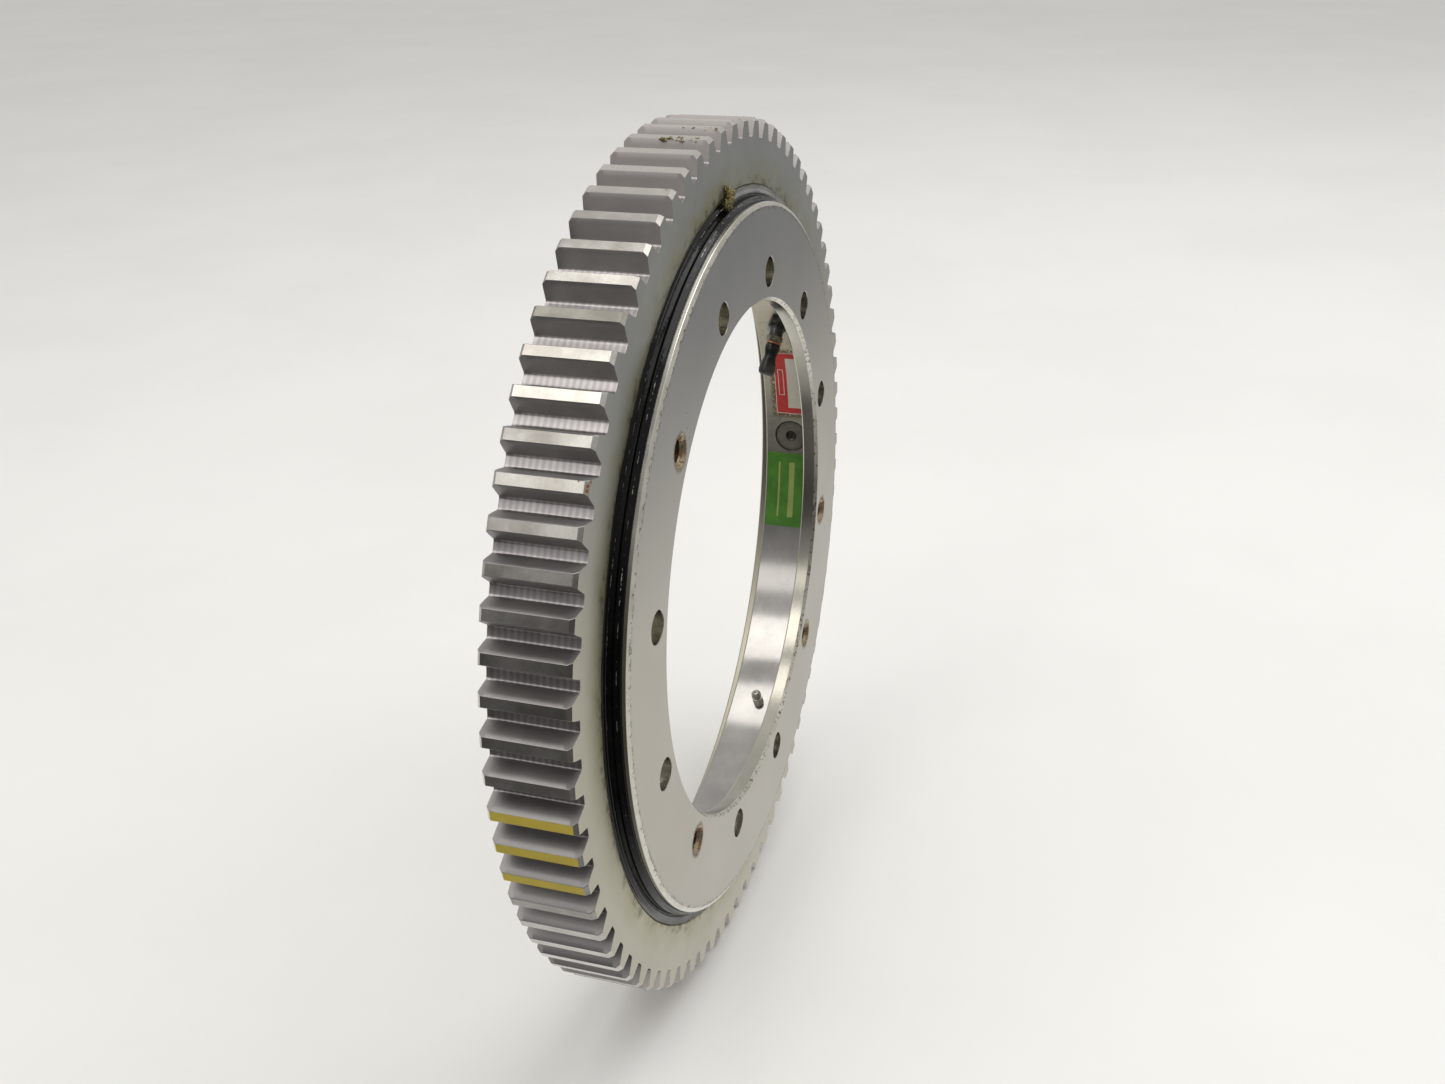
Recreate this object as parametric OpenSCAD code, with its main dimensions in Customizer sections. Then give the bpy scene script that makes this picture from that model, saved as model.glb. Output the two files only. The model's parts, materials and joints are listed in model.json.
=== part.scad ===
// Slewing ring bearing with an external spur gear, a flanged inner ring and one row of
// four-point-contact balls. The ring's axis lies along Y and the ring stands on its teeth.
// The flange of the inner ring is the front and faces -Y.

/* [Gear] */
// Number of teeth on the outer ring
teeth = 78; // [78:4:90]
// Gear module (diametral pitch 4)
gear_module = 6.35; // [6.35:0.05:6.6]
// Pressure angle of the teeth, degrees
pressure_angle = 20; // [18:0.5:22]
// Addendum of the stub teeth, in modules
addendum_factor = 0.8; // [0.7:0.05:1]
// Depth of the tooth gap below the pitch circle
tooth_dedendum = 5.85; // [5:0.05:6.2]
// Tooth thinning on the pitch circle for backlash
tooth_thinning = 0.25; // [0.1:0.05:0.5]
// Chamfer on the tooth ends
tooth_chamfer = 2; // [0.5:0.1:3]

/* [Rings] */
// Height of each ring along the axis
ring_height = 46.2; // [44:0.1:50]
// How far the flange stands proud of the outer ring, and the outer ring of the inner one at the back
ring_offset = 9.8; // [9:0.1:11]
// Bore through the flange of the inner ring
flange_bore_d = 304; // [290:1:310]
// Thickness of the flange
flange_thickness = 10; // [8:0.1:11]
// Bore of the inner ring behind the flange
main_bore_d = 374; // [366:1:380]
// Outside diameter of the flange, where the front seal rides
flange_outer_d = 415.4; // [415:0.1:416]
// General edge chamfer
edge_chamfer = 0.8; // [0.3:0.1:1]

/* [Balls and seals] */
// Ball diameter
ball_d = 19.05; // [18:0.05:19.05]
// Number of balls, and of spacers between them
ball_count = 54; // [40:2:54]
// Diameter of the circle that the ball centres run on
ball_path_d = 416.8; // [416.4:0.1:417.2]
// Running clearance between ball and raceway
raceway_clearance = 0.1; // [0.05:0.01:0.1]
// Diameter of a spacer between two balls
spacer_d = 13; // [10:0.5:14]
// Radial width of the seal grooves
seal_width = 8.7; // [8.5:0.1:8.8]

/* [Bolt holes] */
// Bolt circle of the inner ring
inner_bolt_circle_d = 336.5; // [334:0.5:338]
// Plain bolt holes in the flange
bolt_hole_d = 17.5; // [14:0.1:18]
// Tapped jacking holes in the flange
jack_hole_d = 12.6; // [10:0.1:14]
// Countersink at the mouth of a jacking hole
jack_rim_d = 18; // [16:0.1:19]
// Bolt circle of the outer ring
outer_bolt_circle_d = 458; // [456:0.5:460]
// Blind tapped holes in the back of the outer ring
outer_hole_d = 13.5; // [10:0.1:14]
// Depth of those holes
outer_hole_depth = 22; // [15:1:24]

/* [Fittings] */
// Diameter of the plug that closes the ball filling hole
plug_d = 22; // [21:0.1:24]
// Extraction thread in the plug
plug_thread_d = 5.2; // [4:0.1:6]
// Pin that locks the plug
pin_d = 5; // [4:0.1:6]
// Thread of the grease nipples
nipple_thread_d = 6; // [5.5:0.05:6.3]
// Swivel of the angled nipple about its port, degrees
elbow_swivel = 14; // [0:1:20]
// Length of the rubber cap on the angled nipple
cap_length = 21; // [20:0.5:24]

/* [Setting] */
// Turn of the inner ring from the upright of the outer ring, degrees
inner_turn = 13.86; // [0:0.01:30]

/* [Hidden] */
$fn = 96;
eps = 0.02;
over = 1;

// Axial places, measured from the middle of the ball row towards the back
overall_height = ring_height + ring_offset;
front_y = -overall_height / 2;
back_y = overall_height / 2;
outer_front_y = front_y + ring_offset;
inner_back_y = back_y - ring_offset;
flange_back_y = front_y + flange_thickness;

// Gear
pitch_r = gear_module * teeth / 2;
tip_r = pitch_r + addendum_factor * gear_module;
root_r = pitch_r - tooth_dedendum;
base_r = pitch_r * cos(pressure_angle);
tooth_pitch = 360 / teeth;
fillet = 0.9;
fillet_turn = 0.16;
flank_steps = 3;

// Raceway: four arcs, each a little flatter than the ball, that touch it at 45 degrees
ball_r = ball_d / 2;
path_r = ball_path_d / 2;
arc_shift = 0.6;
arc_r = ball_r + arc_shift + raceway_clearance;
land_gap = 1.3;
inner_land_r = path_r - land_gap;
outer_land_r = path_r + land_gap;
land_half = 11.5;

// Bores and seal grooves
flange_bore_r = flange_bore_d / 2;
main_bore_r = main_bore_d / 2;
flange_outer_r = flange_outer_d / 2;
bore_chamfer = 2;
rim_bevel_w = 2.5;
rim_bevel_h = 1.2;
front_groove_r = flange_outer_r + seal_width;
outer_bore_r = outer_land_r + 0.3;
back_groove_r = outer_bore_r - seal_width;
lip_gap = 0.1;
seal_recess = 0.6;
seal_foot = 5.6;
seal_rib = 0.7;
front_lip_reach = 6.6;
back_lip_reach = 5;

// Inner ring stations, as turns from its first bolt hole
bolt_count = 12;
bolt_step = 360 / bolt_count;
plain_stations = [0, 1, 2, 5, 6, 8, 9, 11];
jack_stations = [3, 4, 7, 10];
elbow_turn = 45;
plug_turn = 75;
lower_turn = 135;
left_turn = 225;
upper_turn = 315;

// Nipples: heights above the wall that they screw into
thread_len = 9;
seat_lift = 0.15;
hex_h = 3.6;
hex_flats = 7;
neck_z = 5.4;
head_z = 6.6;
shoulder_z = 7.2;
crown_z = 8.2;
nipple_top = 10;
nipple_bore_r = 1.45;
nipple_mouth_r = 0.9;
nipple_seat_z = 8.6;
crimp_z = -7.8;
check_ball_d = 2.4;
check_ball_z = 7.7;
spring_wire_d = 0.35;
spring_coil_r = 1.05;
spring_turns = 9;
spring_sides = 6;
spring_steps = 10;

// Angled fitting
elbow_hex_h = 7;
elbow_hex_flats = 12;
elbow_bend_z = 9;
elbow_angle = 30;
arm_d = 9;
knuckle_extra = 0.3;
arm_len = 8.5;
arm_nut_flats = 9.4;
arm_nut_h = 4.2;
washer_h = 1;
washer_d = 10.4;
passage_d = 3;
cap_foot = 0.3;
cap_bulb_r = 4.95;
cap_waist_r = 4.05;
cap_barrel_r = 5.5;
cap_cavity_gap = 0.25;

// Labels: turns from the first bolt hole, and places along the axis
label_h = 0.3;
label_off = 0.02;
red_label_turns = [54.4, 69.7];
red_label_y = [-17, 9.8];
green_label_turns = [79, 95.6];
green_label_y = [-13, 17];

// Ring frame: local z runs to the back, and a turn is clockwise from the top, seen from the front
module ring_frame() {
    rotate([-90, 0, 0]) children();
}

module at_turn(turn) {
    rotate([0, 0, turn - 90]) children();
}

module inner_frame() {
    ring_frame() rotate([0, 0, inner_turn]) children();
}

// Port frame: on the wall of the main bore, with local z pointing at the ring's axis
module port_frame(turn) {
    inner_frame() at_turn(turn) translate([main_bore_r, 0, 0]) rotate([0, -90, 0]) children();
}

// Arm frame: at the bend of the angled fitting, with local z along its arm
module arm_frame() {
    port_frame(elbow_turn)
        rotate([0, 0, -elbow_swivel])
            translate([0, 0, elbow_bend_z])
                rotate([-elbow_angle, 0, 0])
                    children();
}

function involute(r) = tan(acos(base_r / r)) * 180 / PI - acos(base_r / r);
function pitch_half() = (PI * gear_module / 2 - tooth_thinning) / 2 / pitch_r * 180 / PI;
function tooth_half(r) = pitch_half() + involute(pitch_r) - involute(r);
function polar(r, a) = [r * cos(a), r * sin(a)];
function flank_r(k) = root_r + fillet + (tip_r - root_r - fillet) * k / flank_steps;
function tooth_points(a) = concat(
    [polar(root_r, a - tooth_half(root_r) - fillet_turn)],
    [for (k = [0 : flank_steps]) polar(flank_r(k), a - tooth_half(flank_r(k)))],
    [for (k = [flank_steps : -1 : 0]) polar(flank_r(k), a + tooth_half(flank_r(k)))],
    [polar(root_r, a + tooth_half(root_r) + fillet_turn)]
);

module gear_outline() {
    // The ring stands on two teeth, so a gap is at the very bottom
    polygon([for (i = [0 : teeth - 1]) each tooth_points(90 + (i + 0.5) * tooth_pitch)]);
}

// Cross-section of the space that a ball runs in, around the path radius
module raceway_section() {
    shift = arc_shift / sqrt(2);
    translate([path_r, 0])
        intersection() {
            translate([-shift, -shift]) circle(r = arc_r);
            translate([shift, -shift]) circle(r = arc_r);
            translate([-shift, shift]) circle(r = arc_r);
            translate([shift, shift]) circle(r = arc_r);
        }
}

module outer_ring_section() {
    difference() {
        polygon([
            [front_groove_r + edge_chamfer, outer_front_y],
            [tip_r - tooth_chamfer, outer_front_y],
            [tip_r + eps, outer_front_y + tooth_chamfer + eps],
            [tip_r + eps, back_y - tooth_chamfer - eps],
            [tip_r - tooth_chamfer, back_y],
            [outer_bore_r + edge_chamfer, back_y],
            [outer_bore_r, back_y - edge_chamfer],
            [outer_bore_r, land_half],
            [outer_land_r, land_half],
            [outer_land_r, -land_half],
            [front_groove_r, -land_half],
            [front_groove_r, outer_front_y + edge_chamfer]
        ]);
        raceway_section();
    }
}

module outer_gear_ring() {
    color("#8d8c86")
        ring_frame()
            difference() {
                intersection() {
                    rotate_extrude() outer_ring_section();
                    translate([0, 0, front_y]) linear_extrude(overall_height + over) gear_outline();
                }
                for (i = [0 : bolt_count - 1])
                    at_turn((i + 0.5) * bolt_step)
                        translate([outer_bolt_circle_d / 2, 0, back_y - outer_hole_depth])
                            cylinder(d = outer_hole_d, h = outer_hole_depth + over);
            }
}

module inner_ring_section() {
    difference() {
        polygon([
            [flange_bore_r + bore_chamfer, front_y],
            [flange_outer_r - rim_bevel_w, front_y],
            [flange_outer_r, front_y + rim_bevel_h],
            [flange_outer_r, -land_half],
            [inner_land_r, -land_half],
            [inner_land_r, land_half],
            [back_groove_r, land_half],
            [back_groove_r, inner_back_y - edge_chamfer],
            [back_groove_r - edge_chamfer, inner_back_y],
            [main_bore_r + edge_chamfer, inner_back_y],
            [main_bore_r, inner_back_y - edge_chamfer],
            [main_bore_r, flange_back_y],
            [flange_bore_r + edge_chamfer, flange_back_y],
            [flange_bore_r, flange_back_y - edge_chamfer],
            [flange_bore_r, front_y + bore_chamfer]
        ]);
        raceway_section();
    }
}

module flange_hole(d) {
    translate([inner_bolt_circle_d / 2, 0, front_y - over])
        cylinder(d = d, h = flange_thickness + 2 * over);
}

module inner_ring() {
    rim_depth = (jack_rim_d - jack_hole_d) / 2;
    color("#a3a098")
        inner_frame()
            difference() {
                rotate_extrude() inner_ring_section();
                for (s = plain_stations)
                    at_turn(s * bolt_step) flange_hole(bolt_hole_d);
                for (s = jack_stations)
                    at_turn(s * bolt_step) {
                        flange_hole(jack_hole_d);
                        translate([inner_bolt_circle_d / 2, 0, front_y - eps])
                            cylinder(d1 = jack_rim_d + 2 * eps, d2 = jack_hole_d, h = rim_depth + eps);
                    }
                at_turn(plug_turn)
                    translate([main_bore_r - over, 0, 0])
                        rotate([0, 90, 0])
                            cylinder(d = plug_d, h = path_r - main_bore_r + over);
                at_turn(plug_turn) pin_shape(pin_d + 2 * eps);
                for (turn = [elbow_turn, lower_turn, left_turn, upper_turn])
                    at_turn(turn)
                        translate([main_bore_r - over, 0, 0])
                            rotate([0, 90, 0])
                                cylinder(d = nipple_thread_d + 2 * eps, h = path_r - main_bore_r + over);
            }
}

module bearing_balls() {
    color("#c9cbce")
        ring_frame()
            for (i = [0 : ball_count - 1])
                rotate([0, 0, i * 360 / ball_count])
                    translate([path_r, 0, 0])
                        sphere(d = ball_d);
}

module ball_spacers() {
    step = 360 / ball_count;
    hollow_r = ball_r + 0.15;
    color("#d8d2c0")
        ring_frame()
            for (i = [0 : ball_count - 1])
                rotate([0, 0, i * step])
                    difference() {
                        rotate([0, 0, step / 2])
                            translate([path_r, 0, 0])
                                rotate([90, 0, 0])
                                    cylinder(d = spacer_d, h = 8, center = true);
                        translate([path_r, 0, 0]) sphere(r = hollow_r);
                        rotate([0, 0, step]) translate([path_r, 0, 0]) sphere(r = hollow_r);
                    }
}

// Held in the outer ring, with a long lip that climbs the edge of the flange
module front_seal() {
    r0 = flange_outer_r;
    y0 = outer_front_y;
    color("#151514")
        ring_frame()
            rotate_extrude()
                polygon([
                    [front_groove_r - eps, y0 + seal_recess + edge_chamfer],
                    [r0 + 6.2, y0 + seal_recess],
                    [r0 + 5.0, y0 - seal_rib],
                    [r0 + 4.0, y0 - seal_rib],
                    [r0 + 3.1, y0 + 0.2],
                    [r0 + 2.3, y0 - 2.8],
                    [r0 + 2.6, y0 - 3.7],
                    [r0 + 1.9, y0 - 4.7],
                    [r0 + 1.1, y0 - front_lip_reach + 0.2],
                    [r0 + lip_gap, y0 - front_lip_reach],
                    [r0 + lip_gap, y0 - 2.0],
                    [r0 + 0.9, y0 + 1.0],
                    [r0 + 0.9, y0 + seal_foot],
                    [front_groove_r - eps, y0 + seal_foot]
                ]);
}

// Held on the inner ring, with its lip on the bore of the outer ring
module back_seal() {
    r0 = outer_bore_r;
    y0 = inner_back_y;
    color("#151514")
        ring_frame()
            rotate_extrude()
                polygon([
                    [back_groove_r + eps, y0 - seal_recess - edge_chamfer],
                    [r0 - 6.2, y0 - seal_recess],
                    [r0 - 5.0, y0 + seal_rib],
                    [r0 - 4.0, y0 + seal_rib],
                    [r0 - 3.1, y0 - 0.2],
                    [r0 - 2.2, y0 + 2.4],
                    [r0 - 1.2, y0 + back_lip_reach - 0.2],
                    [r0 - lip_gap, y0 + back_lip_reach],
                    [r0 - lip_gap, y0 + 2.0],
                    [r0 - 0.9, y0 - 1.0],
                    [r0 - 0.9, y0 - seal_foot],
                    [back_groove_r + eps, y0 - seal_foot]
                ]);
}

// Tapered pin, axial, through the back of the inner ring into the side of the plug
module pin_shape(d) {
    pin_r = (main_bore_r + inner_land_r - ball_r) / 2;
    pin_deep = plug_d / 2 - 4;
    translate([pin_r, 0, pin_deep])
        cylinder(d1 = d * 0.92, d2 = d, h = inner_back_y - pin_deep);
}

module load_plug() {
    color("#8a877f")
        inner_frame()
            at_turn(plug_turn)
                difference() {
                    translate([main_bore_r - over, 0, 0])
                        rotate([0, 90, 0])
                            cylinder(d = plug_d - 2 * eps, h = inner_land_r - main_bore_r + over);
                    rotate_extrude() raceway_section();
                    translate([0, 0, front_y]) cylinder(r = main_bore_r + 0.3, h = overall_height);
                    translate([main_bore_r - over, 0, 0])
                        rotate([0, 90, 0])
                            cylinder(d = plug_thread_d, h = 7 + over);
                    pin_shape(pin_d + 2 * eps);
                }
}

module plug_pin() {
    color("#77777a") inner_frame() at_turn(plug_turn) pin_shape(pin_d);
}

module wall_label(turns, y) {
    inner_frame()
        at_turn(turns[0])
            rotate_extrude(angle = turns[1] - turns[0])
                translate([main_bore_r - label_off - label_h, y[0]])
                    square([label_h, y[1] - y[0]]);
}

module red_label() {
    color("#c8201c") wall_label(red_label_turns, red_label_y);
}

module green_label() {
    color("#2f8a1c") wall_label(green_label_turns, green_label_y);
}

// Hollow body of a nipple, with the wall that it screws into at z = 0
module nipple_body() {
    difference() {
        union() {
            rotate_extrude()
                polygon([
                    [0, -thread_len],
                    [nipple_thread_d / 2, -thread_len],
                    [nipple_thread_d / 2, 0],
                    [3.2, 0],
                    [3.2, hex_h],
                    [2.6, neck_z],
                    [2.5, head_z],
                    [3.2, shoulder_z],
                    [3.2, crown_z],
                    [1.9, nipple_top],
                    [0, nipple_top]
                ]);
            translate([0, 0, seat_lift])
                cylinder(d = hex_flats / cos(30), h = hex_h - seat_lift, $fn = 6);
        }
        translate([0, 0, crimp_z]) cylinder(r = nipple_bore_r, h = nipple_seat_z - crimp_z);
        translate([0, 0, -thread_len - over]) cylinder(r = nipple_mouth_r, h = thread_len + nipple_top + 2 * over);
    }
}

module check_ball() {
    translate([0, 0, check_ball_z]) sphere(d = check_ball_d, $fn = 32);
}

// Coil of the spring that holds the check ball on its seat
module check_spring() {
    z0 = crimp_z + spring_wire_d / 2 + 0.05;
    z1 = check_ball_z - check_ball_d / 2 - spring_wire_d / 2 - 0.05;
    rings = spring_turns * spring_steps;
    function ring_centre(i) = [
        spring_coil_r * cos(i * 360 / spring_steps),
        spring_coil_r * sin(i * 360 / spring_steps),
        z0 + (z1 - z0) * i / rings
    ];
    function ring_point(i, j) =
        let (a = i * 360 / spring_steps, b = j * 360 / spring_sides, w = spring_wire_d / 2)
            ring_centre(i) + [w * cos(b) * cos(a), w * cos(b) * sin(a), w * sin(b)];
    points = [for (i = [0 : rings]) for (j = [0 : spring_sides - 1]) ring_point(i, j)];
    sides = [
        for (i = [0 : rings - 1]) for (j = [0 : spring_sides - 1])
            let (k = (j + 1) % spring_sides)
                each [
                    [i * spring_sides + j, (i + 1) * spring_sides + j, (i + 1) * spring_sides + k],
                    [i * spring_sides + j, (i + 1) * spring_sides + k, i * spring_sides + k]
                ]
    ];
    first = [for (j = [0 : spring_sides - 1]) j];
    last = [for (j = [spring_sides - 1 : -1 : 0]) rings * spring_sides + j];
    polyhedron(points, concat(sides, [first, last]));
}

module grease_elbow() {
    color("#2b2b2a")
        difference() {
            union() {
                port_frame(elbow_turn) {
                    translate([0, 0, -thread_len])
                        cylinder(d = nipple_thread_d, h = thread_len + elbow_hex_h);
                    translate([0, 0, seat_lift])
                        cylinder(d = elbow_hex_flats / cos(30), h = elbow_hex_h - seat_lift, $fn = 6);
                    translate([0, 0, elbow_hex_h - over])
                        cylinder(d = arm_d, h = elbow_bend_z - elbow_hex_h + over);
                }
                arm_frame() {
                    sphere(d = arm_d + knuckle_extra);
                    cylinder(d = arm_d, h = arm_len);
                    translate([0, 0, arm_len - arm_nut_h])
                        cylinder(d = arm_nut_flats / cos(30), h = arm_nut_h, $fn = 6);
                }
            }
            port_frame(elbow_turn)
                translate([0, 0, -thread_len - over])
                    cylinder(d = passage_d, h = thread_len + over + elbow_bend_z);
            arm_frame() {
                sphere(d = passage_d + knuckle_extra);
                cylinder(d = passage_d, h = arm_len + over);
                translate([0, 0, arm_len + washer_h - thread_len])
                    cylinder(d = nipple_thread_d + 2 * eps, h = thread_len);
            }
        }
}

module at_elbow_nipple() {
    arm_frame() translate([0, 0, arm_len + washer_h]) children();
}

module nipple_washer() {
    color("#b98a5a")
        arm_frame()
            translate([0, 0, arm_len])
                difference() {
                    cylinder(d = washer_d, h = washer_h);
                    translate([0, 0, -over]) cylinder(d = nipple_thread_d + 0.1, h = washer_h + 2 * over);
                }
}

module elbow_nipple() {
    color("#9b9a92") at_elbow_nipple() nipple_body();
}

module elbow_check_ball() {
    color("#d0d0d0") at_elbow_nipple() check_ball();
}

module elbow_check_spring() {
    color("#b0b0b0") at_elbow_nipple() check_spring();
}

// Rubber dust cap, pushed over the head of the angled nipple: a bulb, a waist and a barrel
module nipple_cap() {
    hex_r = hex_flats / 2 / cos(30) + cap_cavity_gap;
    head_r = 3.2 + cap_cavity_gap;
    color("#111111")
        at_elbow_nipple()
            rotate_extrude()
                difference() {
                    polygon([
                        [0, cap_foot],
                        [cap_bulb_r - 0.4, cap_foot],
                        [cap_bulb_r, 1.6],
                        [cap_bulb_r, 3.4],
                        [cap_bulb_r - 0.4, 5.6],
                        [cap_waist_r, 7.8],
                        [cap_waist_r, 8.8],
                        [cap_barrel_r - 0.5, 12.4],
                        [cap_barrel_r, 16],
                        [cap_barrel_r, cap_length - 3],
                        [cap_barrel_r - 0.8, cap_length - 1],
                        [cap_barrel_r - 2.5, cap_length],
                        [0, cap_length]
                    ]);
                    square([hex_r, hex_h + cap_cavity_gap]);
                    square([head_r, nipple_top + 0.5]);
                }
}

module straight_nipple(turn) {
    color("#b5a98c") port_frame(turn) nipple_body();
}

module straight_check_ball(turn) {
    color("#d0d0d0") port_frame(turn) check_ball();
}

module straight_check_spring(turn) {
    color("#b0b0b0") port_frame(turn) check_spring();
}

outer_gear_ring();
inner_ring();
bearing_balls();
ball_spacers();
front_seal();
back_seal();
load_plug();
plug_pin();
red_label();
green_label();
grease_elbow();
elbow_nipple();
nipple_washer();
nipple_cap();
elbow_check_ball();
elbow_check_spring();
straight_nipple(lower_turn);  // lower_nipple
straight_check_ball(lower_turn);  // lower_check_ball
straight_check_spring(lower_turn);  // lower_check_spring
straight_nipple(left_turn);  // left_nipple
straight_check_ball(left_turn);  // left_check_ball
straight_check_spring(left_turn);  // left_check_spring
straight_nipple(upper_turn);  // upper_nipple
straight_check_ball(upper_turn);  // upper_check_ball
straight_check_spring(upper_turn);  // upper_check_spring
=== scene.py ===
import json
import random
import bmesh
import bpy
from math import acos, asin, atan2, ceil, cos, degrees, hypot, pi, radians, sin, sqrt, tan, tau
from mathutils import Matrix, Vector, noise
from mathutils.geometry import tessellate_polygon


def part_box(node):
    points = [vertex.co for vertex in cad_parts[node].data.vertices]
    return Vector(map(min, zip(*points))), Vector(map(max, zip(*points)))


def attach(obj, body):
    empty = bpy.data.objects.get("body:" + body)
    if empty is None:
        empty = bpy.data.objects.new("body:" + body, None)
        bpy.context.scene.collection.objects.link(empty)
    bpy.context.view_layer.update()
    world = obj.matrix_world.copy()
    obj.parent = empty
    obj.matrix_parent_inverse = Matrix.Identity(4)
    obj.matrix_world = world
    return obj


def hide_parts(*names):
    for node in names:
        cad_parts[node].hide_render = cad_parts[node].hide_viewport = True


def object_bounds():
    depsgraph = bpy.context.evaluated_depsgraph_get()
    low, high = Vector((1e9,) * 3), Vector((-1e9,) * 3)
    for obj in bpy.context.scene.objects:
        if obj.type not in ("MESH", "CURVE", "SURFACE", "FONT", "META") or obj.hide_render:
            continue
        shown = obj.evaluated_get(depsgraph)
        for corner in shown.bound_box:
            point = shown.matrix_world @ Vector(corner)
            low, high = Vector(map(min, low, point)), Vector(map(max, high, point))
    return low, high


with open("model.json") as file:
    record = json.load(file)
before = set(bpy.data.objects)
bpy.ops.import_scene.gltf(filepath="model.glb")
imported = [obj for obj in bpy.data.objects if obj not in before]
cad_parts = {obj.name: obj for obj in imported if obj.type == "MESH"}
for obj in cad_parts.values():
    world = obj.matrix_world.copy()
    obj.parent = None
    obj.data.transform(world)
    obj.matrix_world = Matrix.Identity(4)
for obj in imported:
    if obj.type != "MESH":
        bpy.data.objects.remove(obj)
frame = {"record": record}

# ---------------- sizes, in mm and degrees
MM = 0.001
record = frame["record"]
mounts = {m["name"]: m for m in record["mounts"]}
joints = {j["name"]: j for j in record["behaviour"]["joints"]}
cad_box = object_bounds()

# The ring's axis is Y. "Clock" is a turn from the top, clockwise as the front shows it.
FRONT_Y = cad_box[0][1] / MM
BACK_Y = cad_box[1][1] / MM
GEAR_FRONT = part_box("outer_gear_ring")[0][1] / MM
RING_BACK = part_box("inner_ring")[1][1] / MM

TEETH = 78
MODULE = 6.35
PRESSURE = radians(20)
PITCH_R = MODULE * TEETH / 2
TIP_R = PITCH_R + 0.8 * MODULE - 0.004
ROOT_R = PITCH_R - 5.85
BASE_R = PITCH_R * cos(PRESSURE)
TOOTH_ARC = pi * MODULE / 2 - 0.25
TOOTH_STEP = 360 / TEETH
TOOTH_CHAMFER = 2.0
EDGE_BREAK = 0.22
FEED_MARKS = 13
FEED_DEPTH = 0.08

BORE_R = mounts["pilot_bore"]["dims"]["r_mm"]
first_bolt = mounts["inner_bolt_1"]["pos_m"]
BOLT_R = hypot(first_bolt[0], first_bolt[2]) / MM
HOLE_R = mounts["inner_bolt_1"]["dims"]["r_mm"]
JACK_R = mounts["jack_hole_4"]["dims"]["r_mm"]
JACK_RIM_R = 9.0
OUTER_BOLT_R = mounts["outer_bolts"]["dims"]["pcd_mm"] / 2
OUTER_HOLE_R = mounts["outer_bolts"]["dims"]["hole_r_mm"]
FLANGE_BACK = FRONT_Y + 10
WALL_R = 187.0
FLANGE_R = 207.7
BACK_SEAL_R = 210.0
RIM_BEVEL = (2.5, 1.2)
BALL_PATH_R = 208.4
LAND_HALF = 11.5
PLAIN_TURNS = [0, 30, 60, 150, 180, 240, 270, 330]
JACK_TURNS = [90, 120, 210, 300]
PLUG_TURN = 75
ELBOW_TURN = 45
NIPPLE_TURNS = {"lower": 135, "left": 225, "upper": 315}
NIPPLE_SEAT = 9.5
CAP_LENGTH = 21.0
INNER_CLOCK = degrees(atan2(first_bolt[0], first_bolt[2]))

# The labels: their turns on the bore wall, and their places along the axis
RED_TURNS = (54.4, 69.7)
RED_BAND = (-17.0, 9.8)
GREEN_TURNS = (79.0, 95.6)
GREEN_BAND = (-13.0, 17.0)

SEGMENTS = 360
HOLE_SEGMENTS = 48
LUMPS_PER_PLACE = 5


def ring_point(r, clock, y):
    """A point in metres from its radius, its clock angle and its place along the axis."""
    a = radians(clock)
    return Vector((r * sin(a), y, r * cos(a))) * MM


PLUG_CENTRE = ring_point(WALL_R, INNER_CLOCK + PLUG_TURN, 0)


def port_frame(turn):
    """Axes on the bore wall: x to the back, y clockwise along the wall, z to the ring's axis."""
    a = radians(INNER_CLOCK + turn)
    back = Vector((0, 1, 0))
    along = Vector((cos(a), 0, -sin(a)))
    inward = Vector((-sin(a), 0, -cos(a)))
    place = Matrix((back, along, inward)).transposed().to_4x4()
    place.translation = -inward * WALL_R * MM
    return place


# ---------------- mesh building
def add_object(name, data):
    thing = bpy.data.objects.new(name, data)
    bpy.context.scene.collection.objects.link(thing)
    return thing


class Shell:
    """Gathers the faces of a surface and welds corners that fall on the same place."""

    def __init__(self):
        self.points = []
        self.places = {}
        self.faces = []
        self.slots = []

    def corner(self, p):
        key = (round(p[0] * 1e7), round(p[1] * 1e7), round(p[2] * 1e7))
        if key not in self.places:
            self.places[key] = len(self.points)
            self.points.append(tuple(p))
        return self.places[key]

    def face(self, corners, slot=0):
        ids = []
        for p in corners:
            i = self.corner(p)
            if i not in ids:
                ids.append(i)
        if len(ids) > 2:
            self.faces.append(ids)
            self.slots.append(slot)

    def grid(self, rows, slot=0, closed=True, slot_of=None):
        """Quads between rows of points. slot_of(row, column) may choose the material."""
        for j in range(len(rows) - 1):
            n = len(rows[j])
            for i in range(n if closed else n - 1):
                k = (i + 1) % n
                s = slot_of(j, i) if slot_of else slot
                self.face((rows[j][i], rows[j][k], rows[j + 1][k], rows[j + 1][i]), s)

    def flat(self, loops, slot=0):
        """A flat face with holes: the first loop is its outline."""
        points = [p for loop in loops for p in loop]
        for tri in tessellate_polygon(loops):
            self.face([points[i] for i in tri], slot)

    def fan(self, row, tip, slot=0):
        """Triangles from a closed row of points to one tip."""
        for i in range(len(row)):
            self.face((row[i], row[(i + 1) % len(row)], tip), slot)

    def build(self, name, materials, body, sharp=30):
        mesh = bpy.data.meshes.new(name)
        mesh.from_pydata(self.points, [], self.faces)
        for m in materials:
            mesh.materials.append(m)
        mesh.polygons.foreach_set("material_index", self.slots)
        bm = bmesh.new()
        bm.from_mesh(mesh)
        bmesh.ops.recalc_face_normals(bm, faces=bm.faces)
        bm.to_mesh(mesh)
        bm.free()
        mesh.shade_smooth()
        mesh.set_sharp_from_angle(angle=radians(sharp))
        piece = add_object(name, mesh)
        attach(piece, body)
        return piece


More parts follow.
